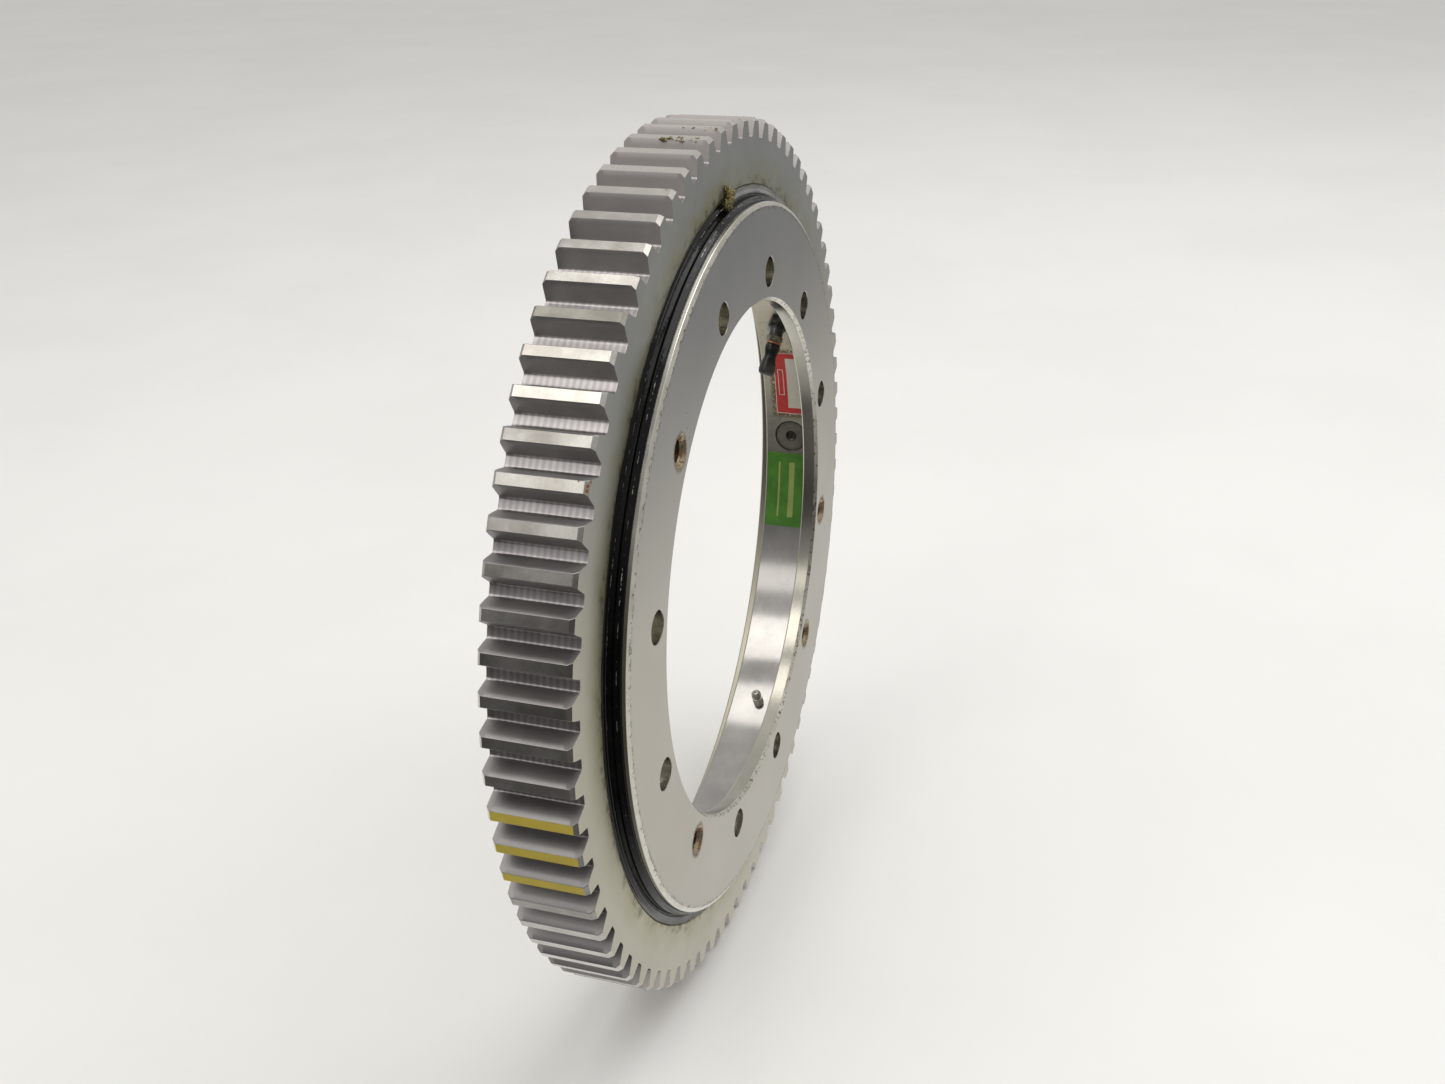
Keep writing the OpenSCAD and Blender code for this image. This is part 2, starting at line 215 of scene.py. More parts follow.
def ring_rows(profile, start=0.0, ripple=None):
    """Rows of a surface turned about the ring's axis, from (radius, y) pairs."""
    rows = []
    for j, (r, y) in enumerate(profile):
        row = []
        for i in range(SEGMENTS):
            clock = start + 360 * i / SEGMENTS
            dr, dy = ripple(j, clock) if ripple else (0, 0)
            row.append(ring_point(r + dr, clock, y + dy))
        rows.append(row)
    return rows


def turned_rows(profile, place, count=HOLE_SEGMENTS, shape=None):
    """Rows of a surface turned about the z axis of a local frame, from (radius, z) pairs in mm."""
    rows = []
    for r, z in profile:
        row = []
        for i in range(count):
            a = tau * i / count
            rr = shape(r, z, a) if shape else r
            row.append(place @ (Vector((rr * cos(a), rr * sin(a), z)) * MM))
        rows.append(row)
    return rows


def arc(cx, cy, r, a0, a1, steps):
    """Points of an arc in a profile, angles in degrees."""
    return [(cx + r * cos(radians(a0 + (a1 - a0) * i / steps)),
             cy + r * sin(radians(a0 + (a1 - a0) * i / steps))) for i in range(steps + 1)]


def rounded(points, radius, steps=4):
    """A closed profile with each corner turned into a short curve."""
    out = []
    n = len(points)
    for i in range(n):
        p = Vector(points[i])
        a = Vector(points[i - 1]) - p
        b = Vector(points[(i + 1) % n]) - p
        d = min(radius, a.length * 0.45, b.length * 0.45)
        start = p + a.normalized() * d
        end = p + b.normalized() * d
        for k in range(steps + 1):
            t = k / steps
            q = start * (1 - t) ** 2 + p * 2 * t * (1 - t) + end * t ** 2
            out.append((q.x, q.y))
    return out


def hex_shape(flats, top, chamfer):
    """Radius of a hexagon with its top corners turned off."""
    def shape(r, z, a):
        if r < flats / 2:
            return r
        side = (a % (pi / 3)) - pi / 6
        corner = flats / 2 / cos(side)
        turned_off = flats / 2 / cos(pi / 6) - max(0.0, z - (top - chamfer)) * 1.6
        return min(corner, max(turned_off, flats / 2 * 0.97))
    return shape


def thread_rows(place, r, length, pitch, depth, count, per_turn=4):
    """Rows of a screw thread that stands out from radius r and fades out at both ends."""
    def shape(r, z, a):
        fade = max(0.0, min(1.0, z / pitch, (length - z) / pitch))
        phase = (z / pitch + a / tau) % 1.0
        return r + depth * (1 - abs(2 * phase - 1)) * fade
    steps = int(length / pitch * per_turn)
    return turned_rows([(r, length * j / steps) for j in range(steps + 1)], place, count, shape)


# ---------------- materials
class Nodes:
    """Short names for the nodes of one tree. A value is a number, a colour or another node's socket."""

    def __init__(self, tree):
        self.tree = tree

    def node(self, kind, *inputs, **settings):
        n = self.tree.nodes.new(kind)
        for key, value in settings.items():
            setattr(n, key, value)
        for i, value in enumerate(inputs):
            self.put(n.inputs[i], value)
        return n

    def put(self, socket, value):
        if isinstance(value, bpy.types.NodeSocket):
            self.tree.links.new(value, socket)
        elif value is not None:
            socket.default_value = value

    def math(self, how, a, b=None, c=None):
        return self.node("ShaderNodeMath", a, b, c, operation=how).outputs[0]

    def times(self, a, b):
        return self.math("MULTIPLY", a, b)

    def ramp(self, value, slope, start):
        return self.math("MULTIPLY_ADD", value, slope, start)

    def either(self, a, b):
        """The larger of two masks."""
        return self.math("MAXIMUM", a, b)

    def span(self, value, low, high, out_low=0.0, out_high=1.0):
        """value from low..high taken smoothly to out_low..out_high."""
        return self.node("ShaderNodeMapRange", value, low, high, out_low, out_high,
                         interpolation_type="SMOOTHSTEP").outputs[0]

    def near(self, value, middle, full, none):
        """1 where value is within full of the middle, 0 beyond none."""
        return self.span(self.math("ABSOLUTE", self.math("SUBTRACT", value, middle)), none, full)

    def mix(self, share, a, b):
        """From colour a to colour b as share goes from 0 to 1."""
        n = self.node("ShaderNodeMix", share, data_type="RGBA")
        for socket, colour in ((n.inputs[6], a), (n.inputs[7], b)):
            self.put(socket, colour if isinstance(colour, bpy.types.NodeSocket) else (*colour, 1))
        return n.outputs[2]

    def over(self, tone, colour, mask, strength):
        """A colour laid over the tone where the mask is on."""
        return self.mix(self.times(mask, strength), tone, colour)


class Paint(Nodes):
    """A procedural material, and the places and patterns that it is made of."""

    def __init__(self, name, metallic=0.0):
        self.material = bpy.data.materials.new(name)
        self.material.use_nodes = True
        super().__init__(self.material.node_tree)
        self.set("Metallic", metallic)
        self.place = self.node("ShaderNodeTexCoord").outputs["Object"]
        self.x, self.y, self.z = self.node("ShaderNodeSeparateXYZ", self.place).outputs

    def set(self, name, value):
        self.put(self.tree.nodes["Principled BSDF"].inputs[name], value)

    def radius(self):
        flat = self.node("ShaderNodeCombineXYZ", self.x, 0.0, self.z).outputs[0]
        return self.node("ShaderNodeVectorMath", flat, operation="LENGTH").outputs["Value"]

    def angle(self):
        return self.math("ARCTAN2", self.x, self.z)

    def away(self, point):
        """How far the surface is from a point, in metres."""
        n = self.node("ShaderNodeVectorMath", self.place, tuple(point), operation="DISTANCE")
        return n.outputs["Value"]

    def noise(self, scale, detail=4.0, rough=0.6, vector=None):
        n = self.node("ShaderNodeTexNoise")
        for name, value in (("Vector", vector or self.place), ("Scale", scale),
                            ("Detail", detail), ("Roughness", rough)):
            self.put(n.inputs[name], value)
        return n.outputs["Fac"]

    def clouds(self, dark, light, scale, detail=5.0, rough=0.6, low=0.3, high=0.7):
        """Wide noise, and a tone that goes with it from dark to light."""
        cloud = self.noise(scale, detail, rough)
        return cloud, self.mix(self.span(cloud, low, high), dark, light)

    def turned(self, fine=9000.0, wander=0.6):
        """Fine concentric tool marks, as on a face or bore cut on a lathe."""
        lines = self.node("ShaderNodeCombineXYZ", self.times(self.radius(), fine), self.times(self.y, fine),
                          self.times(self.angle(), wander)).outputs[0]
        return self.noise(1.0, 3.0, 0.7, lines)

    def spot(self, centre, size, ragged=0.5):
        """A mask for a ragged mark: centre in metres, size in mm."""
        rough = self.ramp(self.noise(700.0, 5.0), ragged * 2 * size * MM, self.away(centre))
        edge = size * MM * (1 + ragged)
        return self.span(rough, edge, edge * 0.62)

    def spots(self, marks, ragged=0.5):
        total = None
        for centre, size in marks:
            one = self.spot(centre, size, ragged)
            total = self.either(total, one) if total else one
        return total

    def bump(self, height, strength, distance, under=None):
        n = self.node("ShaderNodeBump")
        for name, value in (("Strength", strength), ("Distance", distance * MM),
                            ("Height", height), ("Normal", under)):
            self.put(n.inputs[name], value)
        return n.outputs[0]

    def finish(self, colour, roughness, normal):
        self.set("Base Color", colour)
        self.set("Roughness", roughness)
        self.set("Normal", normal)
        return self.material


# Heights between which the front faces go from grey steel to beige, a painted reflection of the white table,
# in metres
TABLE_REFLECTION_HEIGHTS = (0.19, 0.02)
RUST = (0.12, 0.040, 0.014)
RUST_PALE = (0.24, 0.095, 0.034)


def rust_over(paint, colour, roughness, metal, mask):
    """Lays rust where the mask says, with paler patches in it, and takes the metal's shine away."""
    patches = paint.mix(paint.noise(900.0, 3.0), RUST, RUST_PALE)
    paint.set("Metallic", paint.times(metal, paint.math("SUBTRACT", 1.0, mask)))
    rough = paint.either(roughness, paint.times(mask, 0.85))
    return paint.mix(mask, colour, patches), rough


def steel(name, dark, light, rough, grain=0.3, rust=(), turned=True, patch=18.0, feed=0.0, ends=None):
    """Machined steel: cloudy tone, tool marks, fine scratches, rust at the given marks, painted shade in
    bars along the cutter's feed, and painted light and shade as other colours towards the ring's top and
    bottom."""
    p = Paint(name, 1.0)
    cloud, tone = p.clouds(dark, light, patch, rough=0.62, low=0.32)
    metal = 1.0
    # ends: painted light and shade, other tones with less shine at the ring's top and bottom, for how the
    # light falls there
    if ends:
        top, bottom = ends
        high = p.span(p.z, 0.21, 0.25)
        deep = p.span(p.z, -0.13, -0.19)
        tone = p.over(tone, top, high, 0.85)
        tone = p.over(tone, bottom, deep, 0.9)
        metal = p.ramp(p.either(high, deep), -0.65, 1.0)
        p.set("Metallic", metal)
    fine = p.turned() if turned else p.noise(2600.0, 3.0, 0.7)
    tone = p.over(tone, (0.16, 0.155, 0.15), fine, 0.22)
    speck = p.span(p.noise(420.0, 6.0, 0.7), 0.70, 0.78)
    tone = p.over(tone, (0.12, 0.10, 0.08), speck, 0.5)
    # feed: painted shade, dark bars that stand in for the shading of the cutter's feed facets
    if feed:
        along = p.ramp(p.y, tau * FEED_MARKS / ((BACK_Y - GEAR_FRONT - 4) * MM), 1.9)
        waver = p.math("ADD", along, p.times(p.noise(45.0), 2.2))
        bars = p.span(p.math("SINE", waver), -0.7, 0.7)
        tone = p.over(tone, (0.20, 0.17, 0.18), bars, feed)
    roughness = p.ramp(cloud, 0.22, rough - 0.11)
    roughness = p.ramp(fine, 0.08, roughness)
    if rust:
        tone, roughness = rust_over(p, tone, roughness, metal, p.spots(rust))
    height = p.ramp(p.noise(1500.0, 4.0), 0.4, fine)
    return p.finish(tone, roughness, p.bump(height, grain, 0.03))


def marks(*places):
    """Marks for Paint.spots, from radius, clock, distance behind the outer ring's face and size."""
    return [(ring_point(r, clock, GEAR_FRONT + back), size) for r, clock, back, size in places]


GEAR_RUST = marks((246.0, 318.4, 0, 2.6), (251.6, 302.0, 0.8, 1.5), (251.2, 302.5, 1.0, 1.5),
                  (250.2, 303.0, 0.6, 1.4), (252.4, 302.9, 5.0, 0.8), (247.5, 318.9, 2.0, 1.6),
                  (245.0, 28.1, 0, 2.6), (244.6, 32.5, 0, 2.2), (244.7, 14.3, 0, 2.0),
                  (251.0, 353.5, 44.2, 1.6), (252.0, 339.6, 4.6, 1.3))


def gear_face_steel():
    """The outer ring's front face: an oily yellow-green film by the seal; face and film turn beige lower
    down, a painted reflection of the white table.
    """
    p = Paint("gear_face_steel", 1.0)
    r = p.radius()
    cloud, tone = p.clouds((0.245, 0.25, 0.235), (0.31, 0.31, 0.295), 16.0, rough=0.62)
    # Painted reflection of the white table: the face turns beige lower down
    tone = p.over(tone, (0.49, 0.455, 0.355), p.span(p.z, *TABLE_REFLECTION_HEIGHTS), 0.9)
    waver = p.ramp(p.noise(55.0, 5.0), 0.026, r)
    on_front = p.span(p.y, -0.016, -0.018)
    film = p.times(p.span(waver, 0.252, 0.228), on_front)
    film = p.times(film, p.span(p.noise(30.0, 4.0), 0.3, 0.62, 0.25, 1.0))
    # The film is paler lower down: a painted reflection of the white table
    oil = p.mix(p.span(p.z, 0.12, -0.05), (0.25, 0.245, 0.13), (0.40, 0.375, 0.22))
    tone = p.over(tone, oil, film, 0.8)
    dirt = p.times(p.span(waver, 0.236, 0.2285), p.span(p.noise(160.0, 5.0), 0.42, 0.62))
    stain = p.spots(marks((218.5, 355.2, 0, 4.6), (218.8, 352.4, 0, 3.8), (219.2, 349.0, 0, 3.0),
                          (219.0, 344.0, 0, 2.4)), 0.8)
    dirt = p.times(p.either(dirt, stain), on_front)
    tone = p.over(tone, (0.10, 0.085, 0.04), dirt, 0.8)
    fine = p.turned(5200.0, 0.4)
    tone = p.over(tone, (0.15, 0.15, 0.14), fine, 0.16)
    speck = p.span(p.noise(420.0, 6.0, 0.7), 0.70, 0.76)
    tone = p.over(tone, (0.10, 0.08, 0.05), speck, 0.5)
    rough = p.ramp(cloud, 0.16, 0.30)
    rough = p.ramp(film, 0.10, rough)
    tone, rough = rust_over(p, tone, rough, 1.0, p.spots(GEAR_RUST))
    return p.finish(tone, rough, p.bump(fine, 0.2, 0.02))


def tooth_paint():
    """Ochre marking paint, brushed over the ends of three teeth and worn at its edges."""
    p = Paint("tooth_paint")
    cloud = p.noise(90.0, 5.0)
    tone = p.mix(cloud, (0.40, 0.30, 0.020), (0.54, 0.42, 0.045))
    worn = p.span(p.noise(260.0, 6.0, 0.7), 0.62, 0.68)
    edge = p.span(p.y, GEAR_FRONT * MM + 0.0022, GEAR_FRONT * MM + 0.0012)
    bare = p.either(worn, edge)
    p.set("Metallic", bare)
    tone = p.mix(bare, tone, (0.52, 0.49, 0.44))
    height = p.noise(500.0, 4.0)
    return p.finish(tone, p.ramp(cloud, 0.2, 0.38), p.bump(height, 0.35, 0.08))


def box_mask(p, centre_turn, half_along, y0, y1, soft):
    """1 on a box of the bore wall, 0 beyond soft mm outside it. The centre is a turn, the rest is in mm."""
    centre = radians(INNER_CLOCK + centre_turn) * WALL_R * MM
    along = p.math("SUBTRACT", p.times(p.angle(), WALL_R * MM), centre)
    dx = p.math("SUBTRACT", p.math("ABSOLUTE", along), half_along * MM)
    middle = (y0 + y1) / 2 * MM
    dy = p.math("SUBTRACT", p.math("ABSOLUTE", p.math("SUBTRACT", p.y, middle)), (y1 - y0) / 2 * MM)
    away = p.either(dx, dy)
    on_wall = p.span(p.radius(), (WALL_R - 2) * MM, (WALL_R - 1) * MM)
    return p.times(p.span(away, soft * MM, soft * 0.3 * MM), on_wall)


def bore_steel():
    """The main bore: smooth turned steel, beige with old oil high up, glue left round the labels, a painted
    reflection of the elbow beside it and painted shade round the plug.
    """
    p = Paint("bore_steel", 1.0)
    cloud, tone = p.clouds((0.36, 0.345, 0.33), (0.48, 0.46, 0.44), 22.0, rough=0.65)
    high = p.times(p.span(p.z, -0.05, 0.06), p.span(cloud, 0.2, 0.6, 0.6, 1.0))
    tone = p.mix(high, tone, (0.68, 0.635, 0.50))
    fine = p.turned(5200.0, 0.5)
    tone = p.over(tone, (0.25, 0.24, 0.22), fine, 0.2)
    glue = box_mask(p, sum(RED_TURNS) / 2, 25.0, *RED_BAND, 4.6)
    glue = p.times(glue, p.span(p.noise(520.0, 4.0), 0.38, 0.50))
    old_label = box_mask(p, 50.0, 14.0, -4, 16, 2.0)
    old_label = p.times(old_label, p.span(p.noise(300.0, 5.0), 0.5, 0.7))
    glue = p.either(glue, p.times(old_label, 0.35))
    tone = p.over(tone, (0.17, 0.10, 0.02), glue, 0.9)
    # Painted reflection: a grey-green patch beside the elbow stands in for the elbow's reflection in the
    # bore
    smear = p.spots([(ring_point(WALL_R, INNER_CLOCK + 46.5, 6.5), 4.2),
                     (ring_point(WALL_R, INNER_CLOCK + 47.8, 9.0), 2.6)], 0.35)
    tone = p.over(tone, (0.36, 0.42, 0.40), smear, 0.8)
    # Painted shade: a dark ring in the gap round the plug
    by_plug = p.span(p.away(PLUG_CENTRE), 0.0118, 0.0113)
    tone = p.over(tone, (0.06, 0.05, 0.035), by_plug, 0.8)
    dull = p.either(p.times(high, 0.78), p.either(glue, smear))
    p.set("Metallic", p.ramp(dull, -0.8, 1.0))
    rough = p.ramp(cloud, 0.12, 0.06)
    rough = p.ramp(dull, 0.38, rough)
    return p.finish(tone, rough, p.bump(fine, 0.16, 0.02))


def flange_steel():
    """The flange's front face: even grey turned steel, beige lower down as a painted reflection of the white
    table, with nicks along its rim and a few scratches.
    """
    p = Paint("flange_steel", 1.0)
    cloud, tone = p.clouds((0.20, 0.20, 0.195), (0.255, 0.25, 0.24), 14.0, 4.0)
    # Painted reflection of the white table: the face turns beige lower down
    tone = p.over(tone, (0.50, 0.465, 0.395), p.span(p.z, *TABLE_REFLECTION_HEIGHTS), 0.9)
    fine = p.turned(4600.0, 0.35)
    tone = p.over(tone, (0.18, 0.18, 0.17), fine, 0.16)
    rim = p.times(p.span(p.radius(), 0.2025, 0.2048), p.span(p.noise(420.0, 5.0, 0.7), 0.50, 0.58))
    tone = p.over(tone, (0.09, 0.075, 0.055), rim, 0.85)
    for turn in JACK_TURNS:
        away = p.away(ring_point(BOLT_R, INNER_CLOCK + turn, FRONT_Y))
        stain = p.span(p.ramp(p.noise(260.0, 5.0), -0.005, away), 0.0088, 0.0070)
        tone = p.over(tone, (0.17, 0.12, 0.06), stain, 0.8)
    scars = marks((166.0, 318.6, -9.8, 1.2), (160.0, 317.8, -9.8, 1.0), (172.0, 320.4, -9.8, 0.9),
                  (163.0, 316.0, -9.8, 0.7))
    tone = p.over(tone, (0.13, 0.12, 0.11), p.spots(scars, 0.7), 0.7)
    rough = p.ramp(cloud, 0.14, 0.30)
    return p.finish(tone, rough, p.bump(fine, 0.18, 0.02))


def bevel_steel():
    """The bevels at the flange's rim and bore: bright where worn, with dark nicks."""
    p = Paint("bevel_steel", 1.0)
    cloud, tone = p.clouds((0.58, 0.55, 0.47), (0.74, 0.71, 0.63), 60.0)
    nicks = p.span(p.noise(380.0, 6.0, 0.7), 0.54, 0.60)
    by_face = p.span(p.radius(), 0.2066, 0.2054)
    tone = p.over(tone, (0.08, 0.065, 0.045), p.times(nicks, by_face), 0.8)
    return p.finish(tone, p.ramp(cloud, 0.2, 0.2), p.bump(nicks, 0.3, 0.05))


def rusty_steel(name, golden, shade=1.0, first=0.44):
    """Old steel in and round the tapped holes: dark rust with bare golden patches. shade darkens the rust
    tone: below 1 it is painted shade deep in a hole.
    """
    p = Paint(name, 1.0)
    bare = p.span(p.noise(330.0, 5.0, 0.65), first, first + 0.12)
    tone = p.mix(p.noise(700.0, 4.0), (0.10 * shade, 0.045 * shade, 0.018 * shade),
                 (0.23 * shade, 0.12 * shade, 0.05 * shade))
    tone = p.mix(bare, tone, golden)
    p.set("Metallic", p.ramp(bare, 0.8, 0.2))
    rough = p.ramp(bare, -0.38, 0.62)
    return p.finish(tone, rough, p.bump(p.noise(900.0, 5.0), 0.5, 0.08))


def rubber(name):
    """Oily black rubber, with painted highlights: broken pale lines along its crests, stronger towards the
    top.
    The flat part outside its ribs is dirty at its edge, and dry and grey at the ring's bottom and over its
    whole +X half."""
    # In metres: the lip ends at radius 0.211, the outer crest is at 0.2124 and the seal's edge at 0.2163
    p = Paint(name)
    p.set("Specular IOR Level", 0.16)
    dust = p.times(p.span(p.noise(240.0, 6.0, 0.7), 0.55, 0.75), 0.05)
    cloud, tone = p.clouds((0.002, 0.002, 0.002), (0.005, 0.005, 0.005), 60.0, high=0.75)
    tone = p.mix(dust, tone, (0.16, 0.15, 0.12))
    grey_part = p.either(p.span(p.z, -0.13, -0.17), p.span(p.x, -0.016, -0.008))
    outside = p.span(p.radius(), 0.2102, 0.2112)
    flat = p.times(outside, grey_part)
    dry = p.mix(p.span(p.noise(50.0, 5.0), 0.35, 0.65), (0.19, 0.19, 0.187), (0.25, 0.25, 0.243))
    tone = p.mix(flat, tone, dry)
    edge = p.times(p.span(p.radius(), 0.2145, 0.2162), p.span(p.noise(90.0, 5.0), 0.35, 0.6))
    tone = p.over(tone, (0.10, 0.085, 0.04), edge, 0.8)
    beads = p.span(p.noise(330.0, 3.0), 0.5, 0.62)
    # Painted highlights: pale broken lines along the crests of the lip and the outer rib, stronger towards
    # the top
    lip = p.span(p.radius(), 0.2112, 0.2108)
    lip_crest = p.times(p.near(p.y, -0.0229, 0.0001, 0.00024), lip)
    crests = p.either(p.near(p.radius(), 0.2124, 0.0001, 0.00026), lip_crest)
    broken = p.times(p.span(p.noise(230.0, 6.0, 0.75), 0.50, 0.62), p.span(p.noise(31.0, 3.0), 0.40, 0.60))
    line = p.times(p.times(crests, broken), p.span(p.z, 0.02, 0.12, 0.22, 0.9))
    tone = p.mix(line, tone, (0.56, 0.56, 0.54))
    roughness = p.ramp(beads, 0.14, 0.05)
    roughness = p.ramp(dust, 0.5, roughness)
    roughness = p.either(roughness, p.times(flat, 0.55))
    waves = p.bump(p.noise(230.0, 2.0), 0.5, 0.25)
    return p.finish(tone, roughness, p.bump(p.noise(700.0, 4.0), 0.15, 0.04, waves))


def film(name, colour, deep, rough=0.35):
    """Printed vinyl, slightly faded and dirty, with a faint ripple."""
    p = Paint(name)
    cloud, tone = p.clouds(colour, deep, 70.0)
    dirt = p.times(p.span(p.noise(500.0, 5.0, 0.7), 0.58, 0.75), 0.4)
    tone = p.mix(dirt, tone, (0.20, 0.17, 0.10))
    return p.finish(tone, p.ramp(cloud, 0.2, rough), p.bump(p.noise(130.0, 3.0), 0.15, 0.2))


def coated_metal(name, dark, light, rough, metallic, grain=0.2):
    """Small metal parts: cloudy tone with worn specks."""
    p = Paint(name, metallic)
    cloud, tone = p.clouds(dark, light, 220.0, high=0.72)
    worn = p.times(p.span(p.noise(800.0, 6.0, 0.7), 0.60, 0.72), 0.5)
    tone = p.mix(worn, tone, (0.30, 0.27, 0.22))
    return p.finish(tone, p.ramp(cloud, 0.25, rough), p.bump(p.noise(2600.0, 4.0), grain, 0.03))


def grease():
    """Dried grease: yellow-green, with dark dirt, orange rust and pale crumbs in it."""
    p = Paint("dried_grease")
    tone = p.mix(p.span(p.noise(420.0, 5.0), 0.35, 0.62), (0.035, 0.028, 0.012), (0.25, 0.23, 0.06))
    tone = p.mix(p.span(p.noise(260.0, 3.0), 0.55, 0.62), tone, (0.27, 0.14, 0.03))
    tone = p.mix(p.span(p.noise(900.0, 4.0), 0.56, 0.66), tone, (0.36, 0.35, 0.25))
    return p.finish(tone, p.ramp(p.noise(300.0), 0.4, 0.3), p.bump(p.noise(1400.0, 5.0), 0.8, 0.2))


# ---------------- outer ring
def tooth_half(r):
    """Half of a tooth's angle at a radius, in degrees, from the involute of the base circle."""
    lean = acos(min(1.0, BASE_R / r))
    flank = tan(PRESSURE) - PRESSURE - (tan(lean) - lean)
    return degrees(TOOTH_ARC / 2 / PITCH_R + flank)


def tooth_side(top, feed):
    """Half of one tooth's outline as (radius, degrees from its middle), from the gap to the tip."""
    foot_r = ROOT_R + 1.1
    foot = tooth_half(ROOT_R)
    side = []
    for k in range(4):
        t = k / 4
        r = ROOT_R * (1 - t) ** 2 + ROOT_R * 2 * t * (1 - t) + foot_r * t ** 2
        a = (foot + 0.34) * (1 - t) ** 2 + foot * 2 * t * (1 - t) + tooth_half(foot_r) * t ** 2
        side.append((r + feed * (1 - 0.6 * t), a))
    for k in range(4):
        r = foot_r + (top - EDGE_BREAK - foot_r) * k / 3
        side.append((r, tooth_half(r) - degrees(feed * 0.3 / r)))
    side.append((top, tooth_half(top) - degrees(EDGE_BREAK * 0.9 / top)))
    return side


def gear_row(y, top, feed):
    row = []
    for i in range(TEETH):
        middle = 90 + i * TOOTH_STEP
        side = tooth_side(top, feed)
        row += [ring_point(r, middle - a, y) for r, a in side]
        row += [ring_point(r, middle + a, y) for r, a in reversed(side)]
    return row


def feed_at(share):
    """Height of the hob's feed marks: low in the middle of each mark, a ridge between two."""
    u = (share * FEED_MARKS) % 1.0 - 0.5
    return FEED_DEPTH * (2 * u) ** 2


def raceway(side):
    """The groove's section on one ring: two arcs of radius r, shifted off the balls' centre."""
    shift = 0.424
    r = 10.225
    reach = degrees(asin((LAND_HALF - shift - 2.1) / r))
    low = [(BALL_PATH_R - side * shift + side * r * cos(radians(a)),
            -shift + r * sin(radians(a))) for a in (-reach, -50, -38, -26, -14, -2.6)]
    high = [(x, -y) for x, y in reversed(low)]
    return low + high


def outer_gear():
    """The toothed ring. Slot 0 is its faces and groove, 5 the tapped holes; slot_of gives the rest."""
    shell = Shell()
    length = BACK_Y - GEAR_FRONT
    low_top = TIP_R - TOOTH_CHAMFER
    rows = [gear_row(GEAR_FRONT, low_top, 0), gear_row(GEAR_FRONT + TOOTH_CHAMFER, TIP_R, 0)]
    steps = FEED_MARKS * 3
    for k in range(1, steps):
        share = k / steps
        y = GEAR_FRONT + TOOTH_CHAMFER + (length - 2 * TOOTH_CHAMFER) * share
        rows.append(gear_row(y, TIP_R, feed_at(share)))
    rows += [gear_row(BACK_Y - TOOTH_CHAMFER, TIP_R, 0), gear_row(BACK_Y, low_top, 0)]
    per_tooth = len(rows[0]) // TEETH
    painted = [38, 37, 36]
    dull = [50]

    def slot_of(j, i):
        """1 on tips, 2 on flanks, 3 in the gaps, 4 on painted tips and 6 on a dull one."""
        k = i % per_tooth
        tooth = i // per_tooth
        if k == per_tooth // 2 - 1:
            end = j < 1 or j > len(rows) - 3
            if tooth in painted and not end:
                return 4
            return 6 if tooth in dull else 1
        if k in (per_tooth - 1, 0, 1, 2, per_tooth - 2, per_tooth - 3, per_tooth - 4):
            return 3
        return 2
    shell.grid(rows, slot_of=slot_of)

    bore = [(217.2, GEAR_FRONT), (216.4, GEAR_FRONT + 0.8), (216.4, -LAND_HALF), (209.7, -LAND_HALF)]
    bore += raceway(1)
    bore += [(209.7, LAND_HALF), (210.0, LAND_HALF + 0.3), (210.0, BACK_Y - 0.8), (210.8, BACK_Y)]
    walls = ring_rows(bore)
    shell.grid(walls)
    shell.flat([rows[0], walls[0]])

    holes = []
    count = 24
    for k in range(12):
        clock = 15 + 30 * k + 90
        middle = ring_point(OUTER_BOLT_R, clock, BACK_Y)
        place = Matrix.Translation(middle) @ Matrix.Rotation(radians(90), 4, "X")
        rim = turned_rows([(8.2, 0.0), (OUTER_HOLE_R, 1.6)], place, count)
        start = place @ Matrix.Translation((0, 0, 1.6 * MM))
        thread = thread_rows(start, OUTER_HOLE_R, 18.4, 2.0, 0.9, count)
        tip = place @ Vector((0, 0, 24.0 * MM))
        shell.grid(rim + thread[1:], 5)
        shell.fan(thread[-1], tip, 5)
        holes.append(rim[0])
    shell.flat([rows[-1], walls[-1]] + holes)

    paints = [
        gear_face_steel(),
        # The ends given to the tips and flanks are painted light and shade: darker tips high and low, much
        # lighter flanks low down
        steel("tooth_tip_steel", (0.46, 0.43, 0.39), (0.74, 0.71, 0.66), 0.21, rust=GEAR_RUST, patch=34.0,
              ends=((0.42, 0.39, 0.36), (0.32, 0.30, 0.27))),
        steel("tooth_flank_steel", (0.35, 0.335, 0.33), (0.45, 0.43, 0.415), 0.46, rust=GEAR_RUST,
              turned=False, patch=30.0, ends=((0.47, 0.43, 0.415), (0.95, 0.89, 0.85))),
        # The roots' feed bars are painted shade
        steel("tooth_root_steel", (0.46, 0.43, 0.43), (0.60, 0.57, 0.56), 0.32, rust=GEAR_RUST,
              turned=False, patch=60.0, feed=0.36),
        tooth_paint(),
        steel("tapped_steel", (0.28, 0.26, 0.24), (0.40, 0.37, 0.34), 0.40, turned=False),
        steel("dull_tip_steel", (0.27, 0.255, 0.22), (0.42, 0.40, 0.35), 0.34, rust=GEAR_RUST, patch=60.0),
    ]
    piece = shell.build("outer_gear", paints, "outer_ring")
    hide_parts("outer_gear_ring")


# ---------------- inner ring
def wall_point(u, v):
    """A point of the bore wall by the plug: u along the wall and v along the axis, from its centre."""
    depth = WALL_R - sqrt(WALL_R ** 2 - u ** 2)
    return port_frame(PLUG_TURN) @ (Vector((v, u, depth)) * MM)


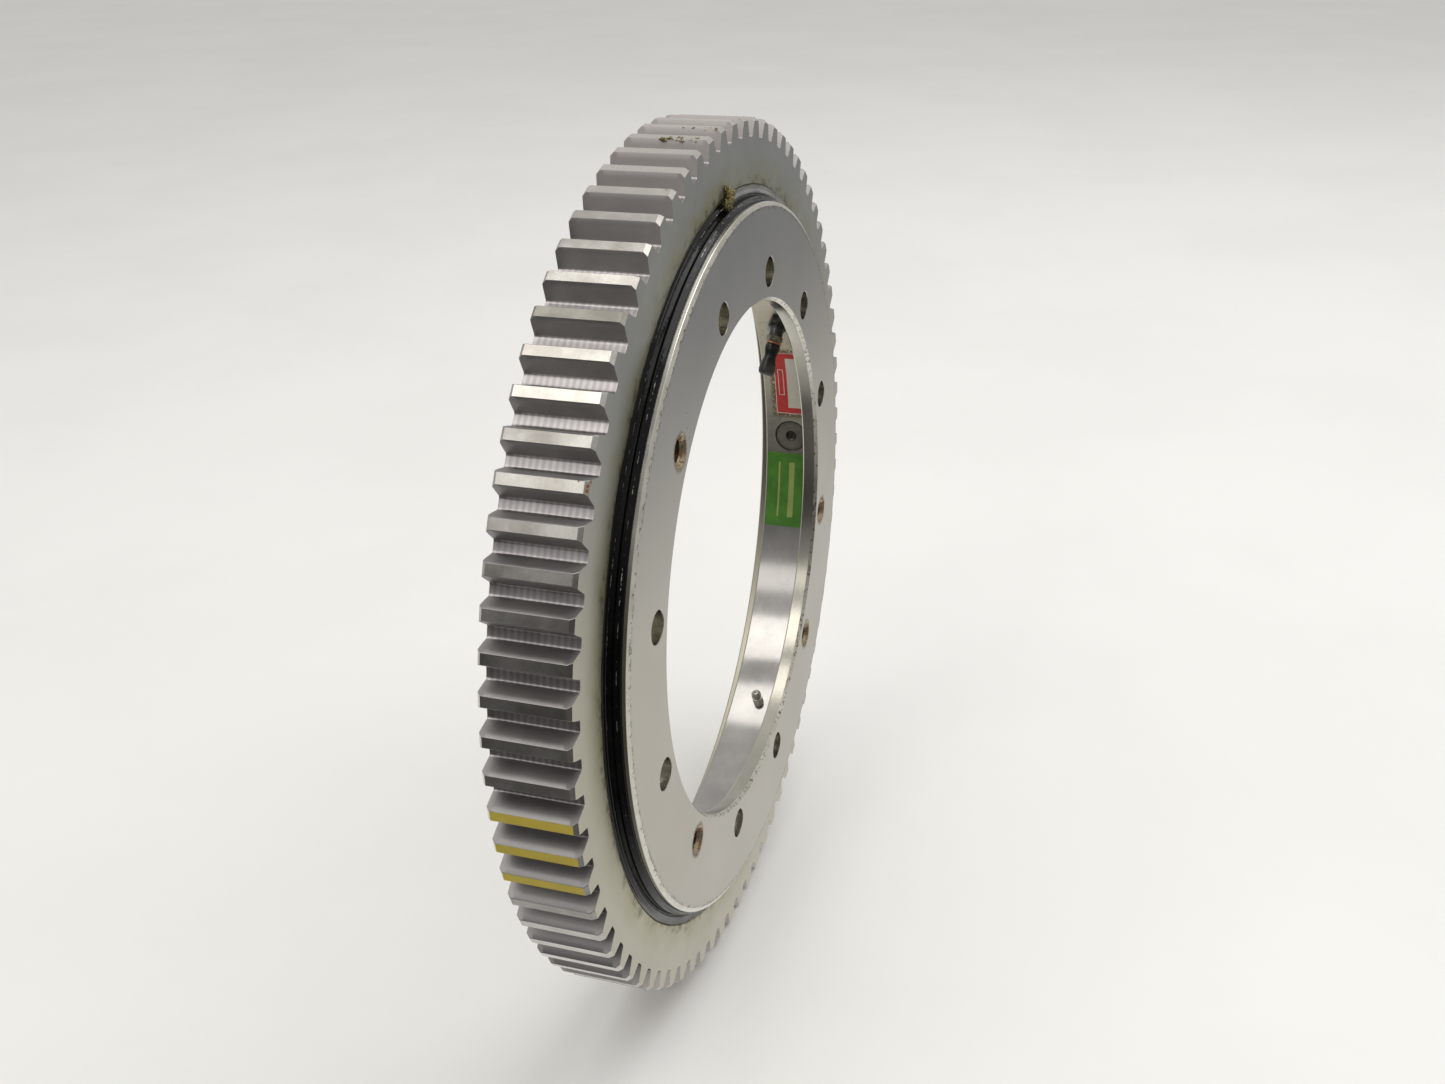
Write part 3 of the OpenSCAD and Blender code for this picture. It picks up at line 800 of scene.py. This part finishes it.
def plug_seat(shell, half_turn, levels):
    """The patch of bore wall round the plug: from the wall's own grid in to the plug's hole."""
    hole_r = 11.0
    hole_depth = 4.0
    half = levels[-1]
    us = [WALL_R * sin(radians(d)) for d in range(-half_turn, half_turn + 1)]
    border = [(u, -half) for u in us[:-1]]
    border += [(us[-1], v) for v in levels[:-1]]
    border += [(u, half) for u in reversed(us[1:])]
    border += [(us[0], v) for v in reversed(levels[1:])]
    rows = []
    for share in (0, 0.4, 0.8, 1):
        row = []
        for u, v in border:
            a = atan2(v, u)
            edge_u = (hole_r + 0.15) * cos(a)
            edge_v = (hole_r + 0.15) * sin(a)
            row.append(wall_point(u + (edge_u - u) * share, v + (edge_v - v) * share))
        rows.append(row)
    lip = []
    deep = []
    inward = port_frame(PLUG_TURN).to_3x3() @ Vector((0, 0, 1))
    for u, v in border:
        a = atan2(v, u)
        edge = wall_point(hole_r * cos(a), hole_r * sin(a))
        lip.append(edge - inward * 0.15 * MM)
        deep.append(edge - inward * hole_depth * MM)
    shell.grid(rows + [lip, deep], 1)
    shell.fan(deep, port_frame(PLUG_TURN) @ Vector((0, 0, -hole_depth * MM)), 1)


def flange_holes(shell):
    """The twelve holes through the flange. Returns their rims on its front and back faces."""
    fronts = []
    backs = []
    depth = FLANGE_BACK - FRONT_Y
    for turn in PLAIN_TURNS + JACK_TURNS:
        middle = ring_point(BOLT_R, INNER_CLOCK + turn, FRONT_Y)
        place = Matrix.Translation(middle) @ Matrix.Rotation(radians(-90), 4, "X")
        if turn in PLAIN_TURNS:
            rows = turned_rows([(HOLE_R + 0.35, 0), (HOLE_R, 0.35), (HOLE_R, depth * 0.5),
                                (HOLE_R, depth - 0.3), (HOLE_R + 0.3, depth)], place)
            shell.grid(rows, 2)
        else:
            sink = JACK_RIM_R - JACK_R
            rim = turned_rows([(JACK_RIM_R, 0), (JACK_R, sink)], place)
            shell.grid(rim, 3)
            start = place @ Matrix.Translation((0, 0, sink * MM))
            rows = [rim[0]] + thread_rows(start, JACK_R, depth - sink - 0.3, 1.75, 0.8, HOLE_SEGMENTS, 5)
            rows.append(turned_rows([(JACK_R + 0.3, depth)], place)[0])
            shell.grid(rows[1:], 7)
        fronts.append(rows[0])
        backs.append(rows[-1])
    return fronts, backs


def inner_body():
    """Slots: 0 flange face, 1 bore wall, 2 plain holes, 3 rusty rims, 4 bevels, 5 flange bore, 6 flange
    edge, 7 threads."""
    shell = Shell()
    corner = 3.0
    outside = [(FLANGE_R - RIM_BEVEL[0], FRONT_Y), (FLANGE_R - 0.15, FRONT_Y + RIM_BEVEL[1]),
               (FLANGE_R, FRONT_Y + RIM_BEVEL[1] + 0.2), (FLANGE_R, -20.0), (FLANGE_R, -LAND_HALF),
               (207.1, -LAND_HALF)]
    outside += raceway(-1)
    outside += [(207.1, LAND_HALF), (201.4, LAND_HALF), (201.4, RING_BACK - 0.8), (200.6, RING_BACK),
                (WALL_R + 0.9, RING_BACK), (WALL_R, RING_BACK - 0.9)]
    out_rows = ring_rows(outside, start=INNER_CLOCK)
    shell.grid(out_rows[:2], 4)
    shell.grid(out_rows[1:4], 6)
    shell.grid(out_rows[3:])

    # The wall's own grid leaves out a patch round the plug
    levels = [3.25 * k for k in range(-4, 5)]
    wall_y = [RING_BACK - 0.9, 15.2] + list(reversed(levels)) + [FLANGE_BACK + corner + 0.3]
    wall = ring_rows([(WALL_R, y) for y in wall_y], start=INNER_CLOCK)
    half_turn = 4
    for j in range(len(wall) - 1):
        for i in range(SEGMENTS):
            by_plug = PLUG_TURN - half_turn <= i < PLUG_TURN + half_turn
            if by_plug and abs(wall_y[j]) <= levels[-1] and abs(wall_y[j + 1]) <= levels[-1]:
                continue
            k = (i + 1) % SEGMENTS
            shell.face((wall[j][i], wall[j][k], wall[j + 1][k], wall[j + 1][i]), 1)
    plug_seat(shell, half_turn, levels)
    fillet = arc(WALL_R - corner, FLANGE_BACK + corner, corner, 0, -90, 6)
    inside = [(WALL_R, FLANGE_BACK + corner + 0.3)] + fillet + [(WALL_R - corner - 0.3, FLANGE_BACK)]
    shell.grid(ring_rows(inside, start=INNER_CLOCK), 1)
    lip = [(BORE_R + 0.8, FLANGE_BACK), (BORE_R, FLANGE_BACK - 0.8),
           (BORE_R, FRONT_Y + 2), (BORE_R + 2, FRONT_Y)]
    lip_rows = ring_rows(lip, start=INNER_CLOCK)
    shell.grid(lip_rows[:3], 5)
    shell.grid(lip_rows[2:], 4)

    fronts, backs = flange_holes(shell)
    shell.flat([out_rows[0], lip_rows[-1]] + fronts)
    back_loop = ring_rows([inside[-1]], start=INNER_CLOCK)[0]
    shell.flat([back_loop, lip_rows[0]] + backs, 1)

    hole_rust = [(ring_point(BOLT_R - 8, INNER_CLOCK + t, FRONT_Y + 4), 2.4) for t in (30, 150, 240)]
    paints = [
        flange_steel(),
        bore_steel(),
        steel("hole_steel", (0.36, 0.34, 0.28), (0.56, 0.53, 0.46), 0.20, 0.4, hole_rust,
              turned=False, patch=80.0),
        rusty_steel("rusty_rim", (0.42, 0.35, 0.24), 1.0, 0.42),
        bevel_steel(),
        steel("flange_bore_steel", (0.48, 0.455, 0.39), (0.62, 0.59, 0.51), 0.13),
        steel("rim_steel", (0.62, 0.61, 0.57), (0.80, 0.79, 0.74), 0.20, 0.2),
        # dark_thread: its rust is darkened to 0.22, painted shade deep in the jack holes
        rusty_steel("dark_thread", (0.36, 0.24, 0.09), 0.22, 0.54),
    ]
    # The bevel at the flange's rim leans 26 degrees from the face, and its edge has to stay sharp
    piece = shell.build("inner_ring_body", paints, "inner_assembly", 22)
    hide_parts("inner_ring")


def load_plug_face():
    """The plug: a turned disc that follows the bore, with a tapped hole for pulling it out."""
    shell = Shell()
    place = port_frame(PLUG_TURN)
    count = 96
    hub = 2.6

    def disc_row(r, sink):
        row = []
        for i in range(count):
            a = tau * i / count
            u = r * sin(a)
            depth = WALL_R - sqrt(WALL_R ** 2 - u ** 2)
            row.append(place @ (Vector((r * cos(a), u, depth - sink)) * MM))
        return row
    profile = [(10.95, 3.5), (10.95, 0.75), (10.55, 0.22), (8.0, 0.2), (7.9, 0.24), (5.2, 0.2), (5.1, 0.24),
               (hub + 1.0, 0.2), (hub + 0.75, 0.2), (hub, 0.95)]
    rows = [disc_row(r, sink) for r, sink in profile]
    shell.grid(rows)
    thread = thread_rows(place @ Matrix.Translation((0, 0, -0.95 * MM)) @ Matrix.Rotation(pi, 4, "X"),
                         hub, 5.0, 0.9, 0.4, 48)
    shell.grid(thread, 1)
    end = place @ Vector((0, 0, -6.0 * MM))
    shell.fan(thread[-1], end, 1)
    back = place @ Vector((0, 0, -3.5 * MM))
    shell.fan(rows[0], back)
    # The plug's thread is dark: painted shade inside its hole
    paints = [plug_steel(), steel("plug_thread", (0.10, 0.09, 0.08), (0.2, 0.18, 0.15), 0.4, turned=False)]
    piece = shell.build("load_plug_face", paints, "inner_assembly")
    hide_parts("load_plug")


def plug_steel():
    """Turned rings round the plug's own centre, and painted shade: dark rings at its rim and round its
    tapped hole.
    """
    p = Paint("plug_steel", 1.0)
    away = p.away(PLUG_CENTRE)
    lines = p.node("ShaderNodeCombineXYZ", p.times(away, 5200.0), 0.0, 0.0).outputs[0]
    rings = p.noise(1.0, 3.0, 0.7, lines)
    cloud, tone = p.clouds((0.42, 0.395, 0.34), (0.56, 0.53, 0.46), 120.0)
    tone = p.over(tone, (0.15, 0.14, 0.12), rings, 0.4)
    # Painted shade at the plug's rim and in the mouth of its tapped hole
    rim = p.either(p.span(away, 0.0103, 0.0107), p.span(away, 0.0042, 0.0034))
    tone = p.over(tone, (0.05, 0.042, 0.03), rim, 0.85)
    return p.finish(tone, p.ramp(cloud, 0.2, 0.25), p.bump(rings, 0.35, 0.04))


# ---------------- seals
def seal(name, profile, node, body, loose):
    """A ring of rubber, slightly uneven along its length at the points that loose() accepts."""
    shell = Shell()
    points = rounded(profile, 0.7, 6)

    def ripple(j, clock):
        j %= len(points)
        if not loose(*points[j]):
            return 0, 0
        a = radians(clock)
        place = Vector((sin(a) * 3.0, cos(a) * 3.0, 1.7 + j * 0.07))
        return noise.noise(place) * 0.05, noise.noise(place + Vector((7, 0, 0))) * 0.05
    shell.grid(ring_rows(points + points[:1], ripple=ripple))
    piece = shell.build(name, [rubber(name + "_rubber")], body, 60)
    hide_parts(node)


def seals():
    """Each section is given as steps from the face that its lip rubs on."""
    steps = ((8.65, 0.2), (6.2, 0.5), (5.3, -0.7), (4.1, -0.7), (3.1, 0.4), (2.2, -2.4), (2.75, -3.5),
             (1.9, -4.7), (1.1, -6.4), (0.12, -6.6), (0.12, -2.0), (0.9, 1.0), (0.9, 5.6), (8.65, 5.6))
    front = [(FLANGE_R + outward, GEAR_FRONT + back) for outward, back in steps]
    seal("front_seal_ring", front, "front_seal", "outer_ring",
         lambda r, y: y < GEAR_FRONT and r > FLANGE_R + 1.0)
    steps = ((8.55, -1.4), (6.2, -0.5), (5.1, 0.75), (4.0, 0.75), (3.0, -0.4), (2.2, 2.4), (1.2, 4.8),
             (0.12, 5.0), (0.12, 2.0), (0.9, -1.0), (0.9, -5.6), (8.55, -5.6))
    back = [(BACK_SEAL_R - inward, RING_BACK + back) for inward, back in steps]
    seal("back_seal_ring", back, "back_seal", "inner_assembly",
         lambda r, y: y > RING_BACK and r < BACK_SEAL_R - 1.0)


# ---------------- labels
def spread(lines, step):
    """The given lines with more between them, so that no gap is wider than step."""
    out = [lines[0]]
    for a, b in zip(lines, lines[1:]):
        n = max(1, ceil((b - a) / step))
        out += [a + (b - a) * k / n for k in range(1, n + 1)]
    return out


def label(name, node, from_turn, y0, us, vs, paints, pick):
    """A film on the bore wall: u runs along the wall from from_turn, v from the front, in mm."""
    shell = Shell()
    us = spread(us, 1.6)
    vs = spread(vs, 3.0)
    outer = WALL_R - 0.03

    def row(v, lift):
        line = []
        for u in us:
            edge = min(u, us[-1] - u, v, vs[-1] - v)
            wave = 0.05 * noise.noise(Vector((u * 0.09, v * 0.09, 3.0))) * min(1.0, edge / 3.0)
            r = outer - lift - (max(0.0, wave) if lift else 0)
            line.append(ring_point(r, INNER_CLOCK + from_turn + degrees(u / WALL_R), y0 + v))
        return line
    top = [row(v, 0.16) for v in vs]
    under = [row(v, 0.0) for v in vs]

    def slot_of(j, i):
        return pick((us[i] + us[i + 1]) / 2, (vs[j] + vs[j + 1]) / 2)
    shell.grid(top, closed=False, slot_of=slot_of)
    shell.grid(under, closed=False)
    for end in (0, -1):
        shell.grid([top[end], under[end]], closed=False)
        shell.grid([[r[end] for r in top], [r[end] for r in under]], closed=False)
    piece = shell.build(name, paints, "inner_assembly", 40)
    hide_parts(node)


def labels():
    """The red label has a white rim, an outlined bar and a white panel, the green one two pale bars."""
    length = radians(RED_TURNS[1] - RED_TURNS[0]) * WALL_R
    width = RED_BAND[1] - RED_BAND[0]
    middle = length / 2
    rim = 0.5
    inset = 4.7
    panel = 18.2
    bar = (10.5, 20.4, 24.4)
    core = (bar[0] - rim, bar[1] + rim, bar[2] - rim)
    white = film("label_white", (0.66, 0.63, 0.55), (0.58, 0.55, 0.46))
    red = film("label_red", (0.62, 0.035, 0.030), (0.50, 0.022, 0.020))

    def inside(u, v, box):
        return abs(u - middle) < box[0] and box[1] < v < box[2]

    def red_or_white(u, v):
        on_rim = min(u, length - u, width - v) < rim
        on_panel = v < panel and inset < u < length - inset
        on_outline = inside(u, v, bar) and not inside(u, v, core)
        return 1 if on_rim or on_panel or on_outline else 0
    us = [0, rim, inset, middle - bar[0], middle - core[0]]
    us += [length - u for u in reversed(us)]
    vs = [0, panel, bar[1], core[1], core[2], bar[2], width - rim, width]
    label("red_label_film", "red_label", RED_TURNS[0], RED_BAND[0],
          us, vs, [red, white], red_or_white)

    length = radians(GREEN_TURNS[1] - GREEN_TURNS[0]) * WALL_R
    ends = (7.0, length - 7.0)
    bars = (10.0, 14.0, 20.5, 21.7)
    green = film("label_green", (0.085, 0.27, 0.025), (0.055, 0.19, 0.018), 0.28)
    pale = film("label_pale_green", (0.38, 0.44, 0.14), (0.30, 0.37, 0.10), 0.3)

    def green_or_pale(u, v):
        return 1 if ends[0] < u < ends[1] and (bars[0] < v < bars[1] or bars[2] < v < bars[3]) else 0
    label("green_label_film", "green_label", GREEN_TURNS[0], GREEN_BAND[0],
          [0, *ends, length], [0, *bars, GREEN_BAND[1] - GREEN_BAND[0]], [green, pale], green_or_pale)


# ---------------- grease fittings
def nipple(name, node, place, paints):
    """A straight grease nipple: thread, hexagon, neck and the head that the gun grips."""
    shell = Shell()
    flats = 7.0
    length = 9.0
    wide = flats / 2 + 0.7
    hexagon = [(0, 0.05)] + [(wide, z) for z in (0.05, 0.3, 1.2, 2.4, 2.9, 3.25, 3.6)] + [(2.8, 3.75)]
    head = [(2.75, 4.6), (2.55, 5.4), (2.45, 6.0), (2.5, 6.5), (2.85, 6.85), (3.15, 7.15), (3.25, 7.5),
            (3.2, 8.0), (2.9, 8.5), (2.3, 9.1), (1.9, 9.6), (1.6, 9.95), (1.1, 10.0), (0.95, 9.8),
            (0.9, 8.8), (0, 8.8)]
    rows = turned_rows(hexagon, place, 72, hex_shape(flats, 3.6, 0.7)) + turned_rows(head, place, 72)
    shell.grid(rows)
    thread = thread_rows(place @ Matrix.Translation((0, 0, -length * MM)), 2.6, length, 1.0, 0.4, 36)
    closed = [[place @ Vector((0, 0, -length * MM))] * 36] + thread + [[place.translation] * 36]
    shell.grid(closed)
    piece = shell.build(name, paints, "inner_assembly", 34)
    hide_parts(node)


def elbow_frames():
    """The port's frame, and the frame of the arm, whose z is the way the cap pulls off."""
    port = port_frame(ELBOW_TURN)
    arm_way = Vector(joints["cap_pull"]["axis"]).normalized()
    bend = port @ Vector((0, 0, 9.0 * MM))
    side = arm_way.cross(port.to_3x3() @ Vector((0, 0, 1))).normalized()
    other = arm_way.cross(side).normalized()
    arm = Matrix((side, other, arm_way)).transposed().to_4x4()
    arm.translation = bend
    return port, arm


def grease_elbow(port, arm):
    """A hexagon on the bore wall, a bent round arm and the nut that holds the nipple."""
    shell = Shell()
    flats = 12.0
    wide = flats / 2 + 1.2
    base = [(0, 0.03)] + [(wide, z) for z in (0.03, 0.4, 1.5, 4.0, 5.0, 5.6, 6.2, 6.8)]
    base += [(4.9, 7.1), (4.6, 7.4), (0, 7.4)]
    shell.grid(turned_rows(base, port, 72, hex_shape(flats, 6.8, 1.1)))
    start = port @ Vector((0, 0, 5.0 * MM))
    middle = arm.translation
    end = arm @ Vector((0, 0, 4.8 * MM))
    path = [start.lerp(middle, t) for t in (0, 0.4)]
    for k in range(1, 8):
        t = k / 8
        a = start.lerp(middle, 0.4)
        path.append(a * (1 - t) ** 2 + middle * 2 * t * (1 - t) + end * t ** 2)
    path.append(end)
    rows = []
    side = arm.to_3x3() @ Vector((1, 0, 0))
    for k, p in enumerate(path):
        way = (path[min(k + 1, len(path) - 1)] - path[max(k - 1, 0)]).normalized()
        across = way.cross(side).normalized()
        turns = [tau * i / 48 for i in range(48)]
        rows.append([p + (side * cos(a) + across * sin(a)) * 4.5 * MM for a in turns])
    shell.grid([[path[0]] * 48] + rows + [[path[-1]] * 48])
    flats = 9.4
    wide = flats / 2 + 0.9
    nut = [(0, 4.2), (4.5, 4.2)] + [(wide, z) for z in (4.5, 5.1, 6.6, 7.6, 8.1, 8.45)] + [(0, 8.5)]
    shell.grid(turned_rows(nut, arm, 72, hex_shape(flats, 8.45, 0.8)), 1)
    black = coated_metal("black_oxide", (0.035, 0.036, 0.036), (0.12, 0.125, 0.12), 0.20, 0.8)
    nut_steel = coated_metal("nut_steel", (0.16, 0.15, 0.12), (0.34, 0.32, 0.27), 0.16, 1.0)
    piece = shell.build("grease_elbow_body", [black, nut_steel], "inner_assembly", 34)
    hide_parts("grease_elbow")


def copper_washer(arm):
    """The washer between the nut and the nipple."""
    shell = Shell()
    ring = rounded([(3.3, 8.52), (5.2, 8.52), (5.2, NIPPLE_SEAT - 0.02), (3.3, NIPPLE_SEAT - 0.02)], 0.25, 3)
    shell.grid(turned_rows(ring + [ring[0]], arm, 72))
    copper = coated_metal("copper", (0.50, 0.22, 0.12), (0.72, 0.40, 0.26), 0.25, 1.0)
    piece = shell.build("copper_washer", [copper], "inner_assembly", 40)
    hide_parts("nipple_washer")


def dust_cap(seat):
    """The rubber cap: a collar that grips the nipple, a waist and a barrel with a worn round end."""
    shell = Shell()
    outside = [(4.25, 3.2), (4.25, 0.5), (4.4, 0.32), (4.65, 0.45), (4.85, 1.0), (4.94, 2.0), (4.94, 3.2),
               (4.84, 4.3), (4.64, 5.3), (4.38, 6.3), (4.15, 7.2), (4.02, 8.1), (4.02, 8.9), (4.2, 9.9),
               (4.5, 11.2), (4.86, 12.6), (5.18, 14.2), (5.4, 16.0), (5.48, 17.3), (5.4, 18.5), (5.15, 19.5),
               (4.6, 20.3), (3.8, 20.75), (2.7, 20.95), (1.4, CAP_LENGTH), (0, CAP_LENGTH)]
    inside = [(0, 10.6), (3.4, 10.6), (3.45, 8.0), (3.45, 4.0), (4.2, 3.8)]
    shell.grid(turned_rows(inside + outside, seat, 64))
    p = Paint("cap_rubber")
    end = seat @ Vector((0, 0, CAP_LENGTH * MM))
    away = p.away(end)
    worn = p.times(p.span(away, 0.0115, 0.004), p.span(p.noise(350.0, 5.0), 0.25, 0.6, 0.5, 1.0))
    tone = p.mix(worn, (0.004, 0.004, 0.004), (0.05, 0.053, 0.048))
    rough = p.ramp(worn, 0.35, 0.22)
    rubbery = p.finish(tone, rough, p.bump(p.noise(1200.0, 4.0), 0.3, 0.06))
    piece = shell.build("nipple_dust_cap", [rubbery], "dust_cap", 50)
    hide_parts("nipple_cap")


def fittings():
    port, arm = elbow_frames()
    zinc = coated_metal("zinc_plate", (0.46, 0.43, 0.36), (0.66, 0.63, 0.55), 0.22, 0.65)
    grease_elbow(port, arm)
    copper_washer(arm)
    seat = arm @ Matrix.Translation((0, 0, NIPPLE_SEAT * MM))
    nipple("elbow_nipple_body", "elbow_nipple", seat, [zinc])
    dust_cap(seat)
    for name, turn in NIPPLE_TURNS.items():
        nipple(name + "_nipple_body", name + "_nipple", port_frame(turn), [zinc])


# ---------------- dried grease
def mesh_from(bm, name, material):
    mesh = bpy.data.meshes.new(name)
    bm.to_mesh(mesh)
    bm.free()
    mesh.materials.append(material)
    return mesh


def grease_lumps(name, material, places, size, seed, flow=1.0):
    """Ragged lumps of old grease with dirt in it, drawn out along the axis by flow."""
    top = cad_box[1][2] - 0.05 * MM
    rng = random.Random(seed)
    bm = bmesh.new()
    for at in places:
        for k in range(LUMPS_PER_PLACE):
            offset = Vector((rng.uniform(-1, 1), rng.uniform(-0.4, 0.4), rng.uniform(-1, 1)))
            offset *= size * 0.8 * MM
            made = bmesh.ops.create_icosphere(bm, subdivisions=4, radius=size * rng.uniform(0.12, 0.42) * MM)
            stretch = Vector((rng.uniform(0.5, 1.7), rng.uniform(0.4, 0.9) * flow, rng.uniform(0.5, 1.7)))
            for v in made["verts"]:
                p = Vector(v.co * stretch)
                ragged = 1 + noise.noise(p * 1500 + Vector((seed, k, at[0] * 900)))
                ragged += 0.5 * noise.noise(p * 4200 + Vector((k, seed, 0)))
                v.co = p * ragged + at + offset
                v.co.z = min(v.co.z, top)
    mesh = mesh_from(bm, name, material)
    mesh.shade_smooth()
    piece = add_object(name, mesh)
    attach(piece, "outer_ring")


def dried_grease():
    """A clump on the seal near the top, and smears along the tips of two teeth."""
    material = grease()
    places = ((209.8, 356.8, 1.6), (211.6, 357.6, 1.4), (213.4, 358.2, 1.0), (215.6, 358.5, 0.6),
              (217.2, 358.3, 0.4))
    clump = [ring_point(r, clock, GEAR_FRONT - ahead) for r, clock, ahead in places]
    grease_lumps("seal_grease", material, clump, 4.8, 5)
    smears = ((57, (-11, -8, -5, -3, -1, 1, 3, 5, 7), 1.5), (58, (-15.5, -14.5, -12, -9, -6, -3, 0, 3), 1.2))
    for tooth, places, size in smears:
        middle = 90 + tooth * TOOTH_STEP
        smear = [ring_point(TIP_R - 0.9, middle - 0.5, y) for y in places]
        grease_lumps("tooth_grease_" + str(tooth), material, smear, size, 9 + tooth, 3.2)


# ---------------- materials of the hidden CAD parts
def dress_hidden_parts():
    ball = coated_metal("ball_steel", (0.66, 0.67, 0.69), (0.80, 0.80, 0.82), 0.08, 1.0, 0.05)
    wire = coated_metal("spring_wire", (0.50, 0.50, 0.51), (0.64, 0.64, 0.66), 0.25, 1.0)
    spacer = film("spacer_plastic", (0.62, 0.58, 0.47), (0.52, 0.48, 0.38), 0.45)
    pin = steel("pin_steel", (0.42, 0.42, 0.42), (0.56, 0.56, 0.56), 0.3, turned=False)
    choice = {"bearing_balls": ball, "ball_spacers": spacer, "plug_pin": pin}
    for side in ("elbow", "lower", "left", "upper"):
        choice[side + "_check_ball"] = ball
        choice[side + "_check_spring"] = wire
    for node, material in choice.items():
        part = bpy.data.objects[node]
        part.data.materials.clear()
        part.data.materials.append(material)


# ---------------- stage, light and camera
def floor():
    bm = bmesh.new()
    bmesh.ops.create_grid(bm, x_segments=24, y_segments=24, size=6.0)
    bmesh.ops.translate(bm, verts=bm.verts, vec=(0, 0, cad_box[0][2]))
    p = Paint("floor_board")
    tone = p.mix(p.span(p.noise(3.0, 5.0), 0.35, 0.65), (0.80, 0.79, 0.765), (0.825, 0.815, 0.79))
    board = p.finish(tone, 0.55, p.bump(p.noise(180.0, 4.0), 0.05, 0.3))
    piece = add_object("floor", mesh_from(bm, "floor", board))
    piece.visible_glossy = False


def soft_box(name, azimuth, elevation, away, width, height, power, tint=(1, 1, 1)):
    """An area light that looks at the part from a direction, angles in degrees."""
    a = radians(azimuth)
    e = radians(elevation)
    at = Vector((cos(e) * cos(a), cos(e) * sin(a), sin(e))) * away
    data = bpy.data.lights.new(name, "AREA")
    data.shape = "RECTANGLE"
    data.size = width
    data.size_y = height
    data.energy = power
    data.color = tint
    lamp = add_object(name, data)
    lamp.location = at
    lamp.rotation_euler = (-at).to_track_quat("-Z", "Y").to_euler()


# How bright the studio is from straight down (-1) to straight up (1), on its two sides
DIM_SIDE = [(-1.0, 0.75), (-0.92, 0.5), (-0.8, 0.14), (-0.2, 0.07), (0.08, 0.12), (0.35, 0.36), (0.7, 0.72)]
BRIGHT_SIDE = [(-1.0, 0.85), (-0.40, 0.95), (-0.28, 0.55), (0.0, 0.5), (0.5, 0.64), (0.9, 0.76)]


def sky_stops(n, height, stops):
    """A ramp over the height of the sky, given as (height, brightness) pairs."""
    ramp = n.node("ShaderNodeValToRGB", height)
    marks = ramp.color_ramp.elements
    while len(marks) < len(stops):
        marks.new(0.5)
    for mark, (at, bright) in zip(marks, stops):
        mark.position = (at + 1) / 2
        mark.color = (bright, bright, bright * 0.985, 1)
    return ramp.outputs[0]


def light():
    """A sky with a dim and a bright side, one soft lamp in front and three strips behind."""
    world = bpy.data.worlds.new("studio")
    bpy.context.scene.world = world
    world.use_nodes = True
    n = Nodes(world.node_tree)
    way = n.node("ShaderNodeTexCoord").outputs["Generated"]
    x, _, z = n.node("ShaderNodeSeparateXYZ", way).outputs
    height = n.ramp(z, 0.5, 0.5)
    sky = n.mix(n.span(x, -0.35, 0.25), sky_stops(n, height, DIM_SIDE), sky_stops(n, height, BRIGHT_SIDE))
    n.put(n.tree.nodes["Background"].inputs["Color"], sky)
    soft_box("fill", -45, 62, 3.2, 2.6, 2.2, 49)
    for elevation, tall, power in ((33, 0.42, 2.2), (56.5, 0.70, 6.6), (83, 0.70, 5.6)):
        soft_box("strip", 155, elevation, 2.4, 1.7, tall, power, (1.0, 0.985, 0.95))


def camera():
    """The camera that was fitted to the photo."""
    data = bpy.data.cameras.new("camera")
    data.sensor_fit = "HORIZONTAL"
    data.sensor_width = 36.0
    data.lens = 37.05
    data.clip_start = 0.02
    data.clip_end = 60.0
    cam = add_object("camera", data)
    cam.location = (-0.75915, -0.2588, 0.3926)
    target = Vector((0.0009, -0.0084, 0.0081))
    look = (target - cam.location).to_track_quat("-Z", "Y").to_matrix().to_4x4()
    roll = Matrix.Rotation(radians(-1.43), 4, "Z")
    cam.rotation_euler = (look @ roll).to_euler()
    bpy.context.scene.camera = cam
    bpy.context.scene.view_settings.view_transform = "Standard"


camera()
outer_gear()
inner_body()
load_plug_face()
seals()
labels()
fittings()
dried_grease()
dress_hidden_parts()
floor()
light()
